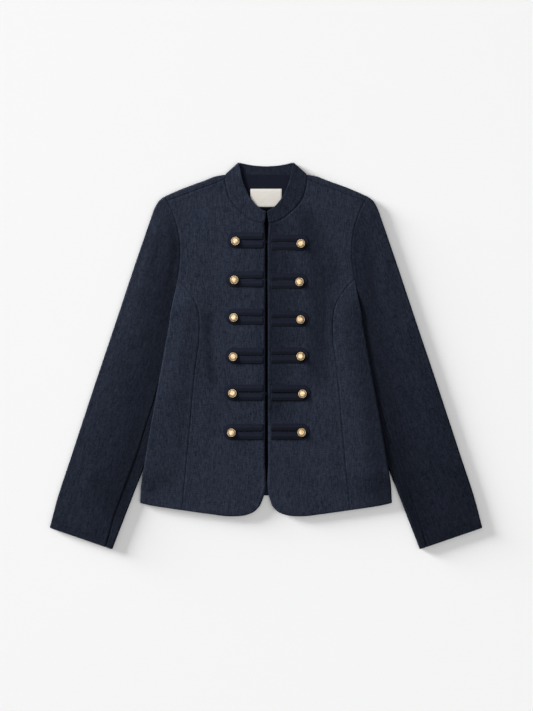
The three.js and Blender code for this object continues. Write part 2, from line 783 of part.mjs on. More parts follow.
const braidTop = flatHeight + braidLift + braidThickness + seamGap;
for (const { name, side, mirror } of wearerSides) {
  add(`front_${name}`, centreFront(side), cloth, { mirror });
  add(`side_front_${name}`, sideFront(), cloth, { mirror });
  add(`top_sleeve_${name}`, topSleeve(), cloth, { mirror });
  add(`under_sleeve_${name}`, underSleeve(), cloth, { mirror });
  buttonRows.forEach((row, k) => {
    const [x, y] = side > 0 ? [row.rightX, row.rightY] : [row.leftX, row.leftY];
    const innerEnd = side > 0 ? braidInnerEnd.right : braidInnerEnd.left;
    add(`braid_${name}_${k + 1}`, braid(innerEnd, x, y), braidCloth, { mirror });
    add(`button_${name}_${k + 1}`, button(), brass, { x: side * x, y, z: braidTop });
  });
}

// Each hook reaches over the front edge into its eye
const eyeHeight = liningHeight + liningThickness + seamGap + wireRadius;
const hookHeight = flatHeight - clothWall - seamGap - wireRadius;
hookHeights.forEach((y, k) => {
  const eyePath = [[10, 2], [4, 1.6], [-1.5, 1.2], [-2.4, 0], [-1.5, -1.2], [4, -1.6], [10, -2]];
  const hookPath = [[-9, 1], [-4, 0.8], [0.5, 0.6], [1.4, 0], [0.5, -0.6], [-4, -0.8], [-9, -1]];
  add(`eye_${k + 1}`, bentWire(eyePath, eyeHeight), wire, { y });
  add(`hook_${k + 1}`, bentWire(hookPath, hookHeight), wire, { y });
});

// The origin is on the surface, under the middle of the whole jacket
const outlineMiddle = new THREE.Box3().setFromObject(group).getCenter(new THREE.Vector3());
group.position.set(-outlineMiddle.x, -outlineMiddle.y, 0);

export default group;
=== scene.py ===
import json
import math

import bmesh
import bpy
import numpy as np
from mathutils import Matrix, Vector

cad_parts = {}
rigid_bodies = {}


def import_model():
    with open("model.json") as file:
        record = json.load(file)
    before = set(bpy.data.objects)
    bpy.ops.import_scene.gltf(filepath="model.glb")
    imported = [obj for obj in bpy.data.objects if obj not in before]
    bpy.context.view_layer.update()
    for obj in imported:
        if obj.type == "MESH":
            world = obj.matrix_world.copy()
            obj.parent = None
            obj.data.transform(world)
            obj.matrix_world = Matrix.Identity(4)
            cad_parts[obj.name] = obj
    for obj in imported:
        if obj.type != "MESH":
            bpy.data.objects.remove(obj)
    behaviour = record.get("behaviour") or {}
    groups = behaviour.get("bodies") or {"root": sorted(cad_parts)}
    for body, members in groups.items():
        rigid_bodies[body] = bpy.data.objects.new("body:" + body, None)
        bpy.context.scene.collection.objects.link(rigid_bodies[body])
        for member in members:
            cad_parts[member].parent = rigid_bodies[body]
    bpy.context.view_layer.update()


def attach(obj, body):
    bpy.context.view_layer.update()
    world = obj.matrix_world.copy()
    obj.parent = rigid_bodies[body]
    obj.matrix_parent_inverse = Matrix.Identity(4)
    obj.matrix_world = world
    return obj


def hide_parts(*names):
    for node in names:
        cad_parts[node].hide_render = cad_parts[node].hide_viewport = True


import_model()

# A short navy jacket with a stand collar and six rows of braid, laid flat and seen from straight above.
# Lengths in the tables are in millimetres, in the same frame as the solids: X across, Y up to the collar.
# The tables of outlines give the half on the +X side, with x out from the middle.
mm = 0.001

# Camera: the picture's height in pixels, and how much of the floor each one shows
photo_pixel = 1.8
photo_height = 711
camera_height = 3500
film_height = 24
view_middle = (0.8, 0.5)

camera = bpy.data.objects.new("camera", bpy.data.cameras.new("camera"))
bpy.context.scene.collection.objects.link(camera)
camera.location = (view_middle[0] * mm, view_middle[1] * mm, camera_height * mm)
camera.data.sensor_fit = "VERTICAL"
camera.data.sensor_height = film_height
camera.data.lens = film_height * camera_height / (photo_pixel * photo_height)
bpy.context.scene.camera = camera
bpy.context.scene.view_settings.view_transform = "Standard"

# Cloth: its wall, its folds, and how the body's sides rise where they lie on the sleeves
cloth_wall = 1.8
fold_radius = 3.5
flat_height = 2 * fold_radius
seam_gap = 0.3
sleeve_lift = flat_height + seam_gap
# How far in from a side the body is raised in full, and how wide the slope beside that is
lift_full, lift_slope = 19, 60
# Where down the jacket the rise begins, is full, begins to sink and ends
lift_top, lift_underarm, lift_tuck_end, lift_hem = 137.3, 79, -206, -252
lining_height = cloth_wall + seam_gap
lining_thickness = 1.0
# How far the front opening lies to the side of the middle
front_shift = 1
# Steps from each corner of a smooth line to the next
steps = 8
# Shares down a panel close to its hem, so that its turned edge shows
hem_shares = [0.9965, 0.998, 0.999, 0.9996]
# A pressed seam: the half width of its crease, and the middle and half width of the swell beside it
seam_crease, seam_swell, seam_swell_width = 0.9, 3.4, 2
# The middle and half width of the swell behind a turned edge
edge_swell, edge_swell_width = 4, 2.4
# A sleeve's seams are shallower, and its cuff's turned edge is tighter
sleeve_seam_depth, cuff_radius = 0.4, 1.3
# Farther from a seam than any relief reaches
far_away = 1e3
# How much of its light a pressed seam's crease loses, as painted shade in the cloth's colour
crease_dark = 0.4
# Within this distance of a seam or an edge the cloth's unevenness fades out
calm_width = 14
# The height and wave length of the unevenness of the fronts, the sleeves, the collar and the lining
body_ripple, sleeve_ripple, collar_ripple, lining_ripple = (0.22, 130), (0.3, 120), (0.12, 70), (0.25, 60)

# Half the opening between the fronts: height, half width
opening_rows = [
    (261.5, 0.5), (254.6, 0.7), (248, 2.4), (241.6, 4), (232.6, 3.2), (205, 1.9), (171, 2.3),
    (137, 1.7), (90, 2.2), (-105, 2.4), (-247, 3.2),
]
armhole = [
    (181.3, 286.9), (177, 278.5), (167.6, 257), (161, 237), (156, 213), (154.2, 192), (155.4, 165),
    (159.2, 137.3), (165, 110), (169.4, 90), (172, 77),
]
# The corner of the armhole where the princess seam starts
princess_start = 7
side_fold = [
    (174, 58), (178.6, 32), (183, 8), (187, -16), (191.8, -41), (204.5, -112), (218, -192),
    (225.1, -238), (226.2, -264.7),
]
princess_seam = [
    (147.5, 126), (135.5, 110.3), (126, 94), (121, 77), (119.6, 50), (120.9, 22), (124.8, -5),
    (128.3, -33), (135.2, -110), (142.7, -192), (147.4, -238), (151.3, -277.5),
]
shoulder_fold = [
    (74.5, 325.5), (90, 322.9), (109.5, 315.5), (129, 308.4), (155, 298.5), (181.3, 286.9),
]
shoulder_seam = [(74, 318), (88, 311.4), (106, 304.5), (125, 297.8), (150, 288.2), (177, 278.5)]
collar_neck = [
    (74, 318), (72.3, 306), (69.2, 292), (62.5, 277.5), (53, 266), (41, 254.8), (28, 245), (14.5, 239.5),
]
collar_top = [
    (47, 340), (44.8, 328), (41.5, 314), (36.8, 301), (31, 288.5), (23.5, 277.5), (14.3, 267.6), (6.3, 262.4),
]
collar_front_neck, collar_front_top = 237.8, 259.5
collar_fold_neck, collar_fold_top = (74.5, 325.5), (49.6, 347.7)
collar_fold_inset = 2.6
# How far the collar's top edge stands over its neck seam in front
collar_rise = 2.4
# How much painted shade each side of the collar gets: the left side leans away from the light.
# collar_back_shade is the painted shade of its back half.
collar_shade = {1: 0.42, -1: 0.06}
collar_back_shade = 0.5
back_neck = [(69.2, 325.3), (37, 323.9), (0, 323.3)]
back_collar_top = [(46, 346.6), (25, 342.6), (0, 340.7)]
round_corner = (10.9, -269.6)
front_hem = [(21, -280), (37.9, -286.7), (60, -288.6), (105, -284)]
side_hem = [(180, -273.3), (205, -269.4)]
# How much higher the back's hem is in its middle than at its sides
back_hem_rise = 13.6
front_edge_heights = [203, 168, 135, 90, 40, -20, -105, -190, -247]
sleeve_inner = [
    (159.2, 137.3), (165, 110), (169.4, 90), (172, 77), (172.3, 45), (173.5, 5), (178, -40),
    (188, -90), (201, -140), (218, -197), (236, -243.3), (256, -295), (276.4, -347.9),
]
sleeve_outer = [
    (181.3, 286.9), (191.8, 279.5), (200.4, 265.1), (208.5, 243), (222, 203.9), (237, 160), (256, 103),
    (277, 40), (303, -37), (330, -119), (352.5, -187.6), (375, -256.2), (388.9, -309.2),
]
# How wide a strip of the under sleeve shows in front, at even steps down the sleeve
sleeve_strip = [0, 0, 0, 0, 14, 19, 22, 24, 24, 23, 21.4, 20, 11.6]
# How far in from the outer fold the elbow seam lies underneath, and how much slack a sleeve's top has
elbow_inset = 26
sleeve_slack = 5
# The strip of under sleeve in front from which on the sleeve has no slack
slack_strip = 20
# Below this share of its length an under sleeve always turns over its inner fold
turned_share = 0.26
# How far the middle of each sleeve swells over its edges
sleeve_fill = {"left": 2.0, "right": 3.2}
# The lining's outline: height, half width
lining_outline = [(325.2, 62), (321, 66), (311, 80), (290, 82), (150, 64), (-226, 64)]

# Braid, buttons and hooks
button_rows = {
    1: [(62.4, 201.7), (60, 132.6), (62, 65), (62, -0.8), (65.3, -68.2), (63.8, -137.6)],
    -1: [(55.3, 206), (57.3, 136.2), (58.2, 68.8), (59.3, -1.6), (60.4, -67.3), (62.2, -138)],
}
# How far from the middle each braid trim's inner end is
braid_inner_end = {1: 8.7, -1: 4.8}
braid_half_height = 14.1
# The middle of a trim lies this far above the middle of its button
braid_above = 1.6
braid_slot = 2.2
braid_thickness = 1.6
braid_height = flat_height + 0.3
braid_width = braid_half_height - braid_slot / 2
braid_middle = (braid_half_height + braid_slot / 2) / 2
# How far apart the braid's cross ribs are
rib_pitch = 2
# How much painted shade the braid of each front gets: the left front falls away from the light
braid_shade = {1: 0.32, -1: 0.1}
button_radius = 7.5
button_base = braid_height + braid_thickness + seam_gap
# A button's section from its middle underneath, round the rim bead and up over the dome: radius, height
button_section = [
    (0, 0.4), (3.2, 0.4), (3.4, 0), (5.9, 0), (6.75, 0.35), (7.25, 0.95), (7.45, 1.6), (7.5, 2.1),
    (7.35, 2.6), (7.05, 2.85), (6.8, 2.9), (6.65, 3.05), (6.45, 3.5), (6.05, 4.15), (5.4, 4.85),
    (4.6, 5.55), (3.7, 6.15), (2.7, 6.6), (1.6, 6.88), (0.7, 6.98), (0, 7),
]
# Every button leans a little on its thread, and one of them leans more
button_lean = 0.035
leaning_button, leaning_tilt = (1, 2), (-0.16, 0.02)
wire_radius = 0.3
# How far up each hook and eye is, and the way their wires run
hook_heights = [204.8, 137.6, -68]
eye_path = [(10, 2), (4, 1.6), (-1.5, 1.2), (-2.4, 0), (-1.5, -1.2), (4, -1.6), (10, -2)]
hook_path = [(-9, 1), (-4, 0.8), (0.5, 0.6), (1.4, 0), (0.5, -0.6), (-4, -0.8), (-9, -1)]
label_width, label_height, label_top = 56, 32.4, 300.2
# Left and right are the wearer's
sides = {"left": 1, "right": -1}


# Lines and panels

def smooth(corners, count=steps):
    """A smooth line through corners, with the same number of steps from each corner to the next."""
    p = np.array(corners, float)
    gaps = np.maximum(np.linalg.norm(np.diff(p, axis=0), axis=1), 1e-6)[:, None]
    slope = np.diff(p, axis=0) / gaps
    tangent = np.vstack([slope[:1], slope[-1:]]) if len(p) == 2 else np.vstack([
        slope[:1], (slope[:-1] * gaps[1:] + slope[1:] * gaps[:-1]) / (gaps[:-1] + gaps[1:]), slope[-1:],
    ])
    t = np.linspace(0, 1, count, endpoint=False)[:, None]
    spans = [
        (2 * t**3 - 3 * t**2 + 1) * p[k] + (t**3 - 2 * t**2 + t) * tangent[k] * gaps[k]
        + (3 * t**2 - 2 * t**3) * p[k + 1] + (t**3 - t**2) * tangent[k + 1] * gaps[k]
        for k in range(len(p) - 1)
    ]
    return np.vstack([*spans, p[-1:]])


def join(*lines):
    """Lines end to end, each starting where the one before ends."""
    return np.vstack([lines[0], *[line[1:] for line in lines[1:]]])


def at(line, share):
    """The places at shares of a line."""
    place = np.clip(share, 0, 1) * (len(line) - 1)
    start = np.minimum(place.astype(int), len(line) - 2)
    part = (place - start)[..., None]
    return line[start] * (1 - part) + line[start + 1] * part


def even(line, count=160):
    """The same line with places at even lengths."""
    lengths = np.concatenate([[0], np.cumsum(np.linalg.norm(np.diff(line, axis=0), axis=1))])
    wanted = np.linspace(0, lengths[-1], count)
    return np.column_stack([np.interp(wanted, lengths, line[:, k]) for k in range(2)])


def fill(top, right, bottom, left, across, down):
    """The places on a panel with four sides, at grids of shares across and down."""
    u, v = across[..., None], down[..., None]
    lines = (1 - v) * at(top, across) + v * at(bottom, across)
    lines = lines + (1 - u) * at(left, down) + u * at(right, down)
    upper = (1 - u) * (1 - v) * top[0] + u * (1 - v) * top[-1]
    return lines - (upper + (1 - u) * v * bottom[0] + u * v * bottom[-1])


def smoothstep(value, low, high):
    """A soft step from 0 at low to 1 at high."""
    t = np.clip((value - low) / (high - low), 0, 1)
    return t * t * (3 - 2 * t)


def from_table(rows, y):
    """A value from a table whose rows run down the jacket."""
    return np.interp(-np.asarray(y, float), [-row[0] for row in rows], [row[1] for row in rows])


def lift_at(places):
    """How far the body is raised where its sides lie on the sleeves."""
    x, y = np.abs(places[..., 0]), places[..., 1]
    outline = [(row[1], row[0]) for row in [*armhole[princess_start:], *side_fold]]
    inward = from_table(outline, y) - x
    across = 1 - smoothstep(inward, lift_full, lift_full + lift_slope)
    down = 1 - smoothstep(y, lift_underarm, lift_top)
    up = smoothstep(y, lift_hem, lift_tuck_end)
    return sleeve_lift * across * down * up


def roll_at(y):
    """How far a side's edge is rolled closed: not along the armhole, wholly from the underarm down."""
    return 1 - smoothstep(y, lift_underarm, lift_top)


def distance(places, *lines):
    """How far each place is from the nearest of the lines."""
    nearest = np.full(places.shape[:-1], 1e6)
    for line in lines:
        for a, b in zip(line[:-1], line[1:]):
            span = b - a
            share = np.clip(((places - a) @ span) / max(span @ span, 1e-9), 0, 1)
            nearest = np.minimum(nearest, np.linalg.norm(places - a - share[..., None] * span, axis=-1))
    return nearest


# The widths of the first steps in from an edge, so that its roundness shows
edge_steps = np.array([0, 0.35, 0.8, 1.4, 2.2, 3.2, 4.6, 6.5])


def rows_down(count, near_top=()):
    """Shares down a panel, closer together at its hem and, where given, at its top."""
    return np.sort(np.concatenate([np.linspace(0, 1, count), near_top, hem_shares]))


def shares_in(width, middle):
    """Shares across a width, close together at both edges."""
    widest = 1 / (3 * edge_steps[-1])
    scale = min(1 / width, widest) if width > 0 else widest
    near = edge_steps * scale
    return np.concatenate([near, np.linspace(near[-1], 1 - near[-1], middle + 2)[1:-1], 1 - near[::-1]])


def seam_relief(d, depth=0.55, ridge=0.28):
    """A pressed seam: the cloth dips into it, and swells a little where the allowance lies under it."""
    swell = np.exp(-(((d - seam_swell) / seam_swell_width) ** 2))
    return -depth * np.exp(-(d / seam_crease) ** 2) + ridge * swell


def seam_shade(d):
    """How much painted shade a pressed seam's crease gets."""
    return crease_dark * np.exp(-(d**2))


def broad_shade(places, painted_hollow_shade):
    """How much painted shade each broad soft hollow gives: each is a line, a half width and a share."""
    shade = np.zeros(places.shape[:-1])
    for line, half_width, share in painted_hollow_shade:
        path = smooth(line, 6)
        reach = np.clip(distance(places, path) / half_width, 0, 1)
        shade = np.maximum(shade, share * (1 - smoothstep(reach, 0, 1)))
    return shade


def edge_relief(d, radius=1.5, ridge=0.3):
    """A turned edge: the cloth rounds away over it, and swells a little behind it."""
    near = np.clip(1 - d / radius, 0, 1)
    swell = np.exp(-(((d - edge_swell) / edge_swell_width) ** 2))
    return -radius * (1 - np.sqrt(1 - 0.92 * near**2)) + ridge * swell


def crease_relief(places, creases):
    """Soft troughs and ridges: each is a line, a half width and a height, and fades out at both ends."""
    relief = np.zeros(places.shape[:-1])
    for line, half_width, height in creases:
        path = smooth(line, 6)
        ends = np.minimum(
            np.linalg.norm(places - path[0], axis=-1), np.linalg.norm(places - path[-1], axis=-1)
        )
        length = np.linalg.norm(path[0] - path[-1])
        fade = smoothstep(ends, 0, 0.3 * length) if length > 0 else 1
        d = distance(places, path)
        relief += height * fade * np.exp(-((d / half_width) ** 2))
    return relief


def ripple(places, seed, height, wave):
    """A slow unevenness that every laid-out cloth has, from a few waves that cross."""
    draw = np.random.default_rng(seed)
    total = np.zeros(places.shape[:-1])
    waves = 7
    for _ in range(waves):
        angle, phase = draw.uniform(0, 2 * math.pi, 2)
        length = wave * draw.uniform(0.6, 1.6)
        way = np.array([math.cos(angle), 0.45 * math.sin(angle)])
        total += np.sin(2 * math.pi * (places @ way) / length + phase)
    return height * total / math.sqrt(waves)


def cloth_points(places, up, edge, outward, roll, lifted=True, relief=0.0):
    """The outer and inner points of cloth. edge is the distance to a fold, and roll is how far the cloth
    turns over it."""
    places, up, edge, roll, relief = np.asarray(places), *[
        np.broadcast_to(np.asarray(value, float), places.shape[:-1]) for value in (up, edge, roll, relief)
    ]
    outward = np.broadcast_to(outward, places.shape)
    lean = np.clip(1 - edge / fold_radius, 0, 1)
    rise = 1 - roll + roll * np.sqrt(1 - lean**2)
    normal = np.dstack([outward * (roll * lean)[..., None], up * rise])
    normal /= np.maximum(np.linalg.norm(normal, axis=-1, keepdims=True), 1e-6)
    outer = np.dstack([places, fold_radius + up * fold_radius * rise])
    raised = lift_at(places) if lifted else 0
    outer[..., 2] += raised
    inner = outer - cloth_wall * normal
    return outer + relief[..., None] * normal, inner


def make(name, points, faces, shade=None):
    """An object from points in millimetres and faces, with its doubled points joined. shade tells how much
    painted shade each point gets: in a seam's crease, in a hollow or under a ribbon's edge."""
    points = np.asarray(points, float)
    mesh = bpy.data.meshes.new(name)
    mesh.from_pydata((points * mm).tolist(), [], faces)
    shades = mesh.attributes.new("shade", "FLOAT", "POINT")
    shades.data.foreach_set("value", np.zeros(len(points)) if shade is None else shade)
    shape = bmesh.new()
    shape.from_mesh(mesh)
    bmesh.ops.remove_doubles(shape, verts=shape.verts, dist=2e-6)
    bmesh.ops.dissolve_degenerate(shape, edges=shape.edges, dist=1e-6)
    bmesh.ops.recalc_face_normals(shape, faces=shape.faces)
    if shape.calc_volume(signed=True) < 0:
        bmesh.ops.reverse_faces(shape, faces=shape.faces)
    shape.to_mesh(mesh)
    shape.free()
    mesh.polygons.foreach_set("use_smooth", [True] * len(mesh.polygons))
    mesh.set_sharp_from_angle(angle=math.radians(50))
    piece = bpy.data.objects.new(name, mesh)
    bpy.context.scene.collection.objects.link(piece)
    return piece


def shell(name, outer, inner, side=1, keep=None, shade=0.0):
    """A closed wall of cloth between grids of outer and inner points. keep tells which cells hold cloth."""
    rows, columns = outer.shape[:2]
    points = np.concatenate([outer.reshape(-1, 3), inner.reshape(-1, 3)]) * (side, 1, 1)
    under = rows * columns
    number = np.arange(under).reshape(rows, columns)
    kept = np.ones((rows - 1, columns - 1), bool) if keep is None else keep
    padded = np.pad(kept, 1)
    faces = []
    for i, j in zip(*np.nonzero(kept)):
        a, b, c, d = (int(number[k]) for k in ((i, j), (i, j + 1), (i + 1, j + 1), (i + 1, j)))
        faces += [(a, b, c, d), (d + under, c + under, b + under, a + under)]
        for beside, p, q in (
            (padded[i, j + 1], a, b), (padded[i + 1, j + 2], b, c),
            (padded[i + 2, j + 1], c, d), (padded[i + 1, j], d, a),
        ):
            if not beside:
                faces.append((q, p, p + under, q + under))
    shades = np.broadcast_to(np.asarray(shade, float), (rows, columns))
    return make(name, points, faces, np.concatenate([shades.ravel(), shades.ravel()]))


def opening(y, side):
    """How far the front edge of one side lies out from the middle."""
    return from_table(opening_rows, y) + side * front_shift


def edge_line(heights, side):
    """The front edge of one side, from its heights."""
    y = np.array(heights, float)
    return np.column_stack([opening(y, side), y])


# Folds and creases, by panel: a line, a half width and a height, all in millimetres.
# x is out from the middle on the panel's own side.
creases = {
    "front_left": [
        ([(18, 262), (28, 180), (30, 60), (24, -80)], 34, 1.5),
        ([(78, 232), (92, 160), (97, 60), (92, -60)], 15, -1.5),
        ([(106, 215), (114, 140), (115, 60), (109, -20)], 8, 1.0),
        ([(30, 262), (52, 246), (80, 236)], 8, 0.5),
        ([(20, 225), (30, 170), (26, 110)], 7, 0.35),
        ([(95, -160), (88, -215), (92, -262)], 13, -0.5),
    ],
    "front_right": [
        ([(84, 250), (92, 190), (90, 120)], 10, -0.5),
        ([(96, 90), (99, 40), (96, -20), (90, -60)], 7, -0.8),
        ([(26, 230), (34, 120), (30, 0)], 26, 0.6),
        ([(112, 240), (124, 190), (122, 130)], 12, 0.6),
        ([(98, -40), (94, -120), (100, -200)], 12, -0.45),
        ([(24, -170), (30, -215), (28, -255)], 9, 0.4),
    ],
    "side_front_left": [
        ([(146, 90), (150, 40), (158, -20)], 8, -0.5),
        ([(172, -60), (180, -130), (184, -200)], 11, 0.6),
    ],
    "side_front_right": [
        ([(150, 80), (152, 20), (164, -50)], 9, 0.5),
        ([(168, -90), (176, -160), (190, -230)], 10, -0.6),
    ],
    "sleeve_left": [
        ([(205, 215), (216, 150), (214, 90)], 9, 0.7),
        ([(190, 170), (198, 110), (203, 60)], 8, -0.7),
        ([(222, 40), (238, 20), (262, 12)], 9, -0.9),
        ([(214, 8), (236, -8), (262, -14)], 8, 0.7),
        ([(236, -40), (256, -100), (280, -160)], 12, 0.7),
        ([(280, -200), (300, -250), (318, -300)], 12, -0.6),
    ],
    "sleeve_right": [
        ([(186, 225), (198, 170), (200, 120)], 9, -0.7),
        ([(208, 190), (222, 130), (226, 70)], 9, 0.7),
        ([(206, 52), (230, 38), (258, 34)], 8, 0.8),
        ([(212, 22), (238, 6), (266, 2)], 9, -0.8),
        ([(248, -60), (270, -130), (286, -190)], 12, -0.6),
        ([(300, -190), (322, -240), (338, -290)], 11, 0.6),
    ],
    "back": [
        ([(-60, 250), (-40, 150), (-52, 40)], 16, -0.6),
        ([(70, 200), (50, 90), (66, -40)], 14, -0.5),
        ([(10, 120), (-6, 0), (12, -140)], 18, -0.7),
        ([(-90, -60), (-80, -150), (-96, -220)], 15, -0.5),
    ],
}

# Painted shade where the cloth would lie in a broad soft hollow, by panel: a line, a half width and a share
painted_hollow_shade = {
    "front_left": [
        ([(0, 262), (10, 150), (12, 20), (6, -90)], 62, 0.7),
        ([(72, 240), (98, 170), (102, 60), (92, -30)], 40, 0.6),
        ([(101, 160), (104, 90), (101, 10)], 13, 0.8),
    ],
    "front_right": [
        ([(4, 250), (8, 120), (6, -60)], 20, 0.3),
        ([(100, 70), (103, 20), (98, -50)], 16, 0.5),
        ([(60, -60), (84, -90), (96, -130)], 22, 0.25),
    ],
    "side_front_left": [([(176, 80), (196, -100), (212, -280)], 64, 0.6)],
    "side_front_right": [([(200, -120), (206, -200), (210, -280)], 26, 0.25)],
    "sleeve_left": [([(160, 230), (168, 190), (186, 60), (226, -130), (262, -300)], 48, 0.6)],
    "sleeve_right": [([(160, 190), (180, 70), (210, -60), (256, -260)], 80, 0.62)],
}


def mirror(line):
    """The same line on the other side."""
    return line * (-1, 1)


neck_line = smooth(collar_neck)
upper_armhole = smooth(armhole)[: princess_start * steps + 1]
lower_armhole = smooth(armhole)[princess_start * steps:]
armhole_line = smooth(armhole)
princess_line = smooth([armhole[princess_start], *princess_seam])
fold_line = smooth([armhole[-1], *side_fold])
underarm_line = join(lower_armhole, fold_line)
side_hem_line = smooth([princess_seam[-1], *side_hem, side_fold[-1]])
front_hem_line = smooth([round_corner, *front_hem, princess_seam[-1]])


def front(side, where):
    """A centre front: the shoulder seam on top, the neck seam and edge inside, the armhole and the
    princess seam outside."""
    top = smooth(shoulder_seam)
    edge = smooth([*edge_line([collar_front_neck, *front_edge_heights], side), round_corner])
    left = join(neck_line, smooth([neck_line[-1], edge[0]]), edge)
    right = join(upper_armhole[steps:], princess_line)
    down = rows_down(150, [0.0004, 0.001, 0.002, 0.0035])
    widths = np.linalg.norm(at(left, down) - at(right, down), axis=1)
    across = np.array([shares_in(width, 50) for width in widths])
    places = fill(top, right, front_hem_line, left, across, np.broadcast_to(down[:, None], across.shape))
    seams = distance(places, top, neck_line, right)
    edges = distance(places, edge, front_hem_line)
    relief = seam_relief(seams) + edge_relief(distance(places, edge), 2.8, 0.5)
    relief = relief + edge_relief(distance(places, front_hem_line))
    relief += crease_relief(places, creases[f"front_{where}"])
    relief += ripple(places, 3 + side, *body_ripple) * smoothstep(np.minimum(seams, edges), 0, calm_width)
    outer, inner = cloth_points(places, 1, fold_radius, (1, 0), 0, relief=relief)
    # Painted shade: the seams' creases and the broad soft hollow places
    shade = np.maximum(seam_shade(seams), broad_shade(places, painted_hollow_shade[f"front_{where}"]))
    return shell(f"front_{where}_cloth", outer, inner, side, shade=shade)


def turn_steps(count=8):
    """How far in from a fold each point of its round section is."""
    turns = np.linspace(0, math.pi / 2, count)
    return fold_radius * (1 - np.cos(turns))


def out_over(line, share, way):
    """The way out over a fold, and how much longer a row is than its distance to the fold."""
    tangent = at(line, np.minimum(share + 0.004, 1)) - at(line, np.maximum(share - 0.004, 0))
    tangent /= np.linalg.norm(tangent)
    outward = np.array([-tangent[1], tangent[0]])
    outward = outward if outward @ way > 0 else -outward
    return outward, 1 / max(outward @ way, 0.3)


def side_front(side, where):
    """A side front: its tip is at the armhole, and its outer edge rolls over the side fold."""
    left, right = princess_line, underarm_line
    top = np.array([left[0], left[0]])
    turns = turn_steps()
    places, edges, outs, rolls = [], [], [], []
    for share in rows_down(130):
        start, end = at(left, share), at(right, share)
        width = max(np.linalg.norm(end - start), 1e-6)
        way = (end - start) / width
        outward, stretch = out_over(right, share, way)
        reach = turns * stretch / width
        reach *= min(1, 0.5 / max(reach[-1], 1e-6))
        flat_part = shares_in(width, 26)
        flat_part = flat_part[: len(flat_part) - len(edge_steps)] * (1 - reach[-1])
        across = np.concatenate([flat_part, 1 - reach[::-1]])
        places.append(fill(top, right, side_hem_line, left, across, np.full(len(across), share)))
        edges.append(np.concatenate([np.full(len(flat_part), fold_radius), turns[::-1]]))
        outs.append(np.broadcast_to(outward, (len(across), 2)))
        rolls.append(np.full(len(across), roll_at(end[1])))
    places, edges, outs, rolls = (np.array(value) for value in (places, edges, outs, rolls))
    seams = distance(places, left)
    hem = distance(places, side_hem_line)
    relief = seam_relief(seams) + edge_relief(hem)
    relief += crease_relief(places, creases[f"side_front_{where}"]) * (edges >= fold_radius)
    calm = smoothstep(np.minimum(seams, hem), 0, calm_width) * smoothstep(distance(places, right), 4, 16)
    relief += ripple(places, 3 + side, *body_ripple) * calm
    outer, inner = cloth_points(places, 1, edges, outs, rolls, relief=relief)
    # Painted shade: the princess seam's crease and the broad soft hollow places
    shade = np.maximum(seam_shade(seams), broad_shade(places, painted_hollow_shade[f"side_front_{where}"]))
    return shell(f"side_front_{where}_cloth", outer, inner, side, shade=shade)


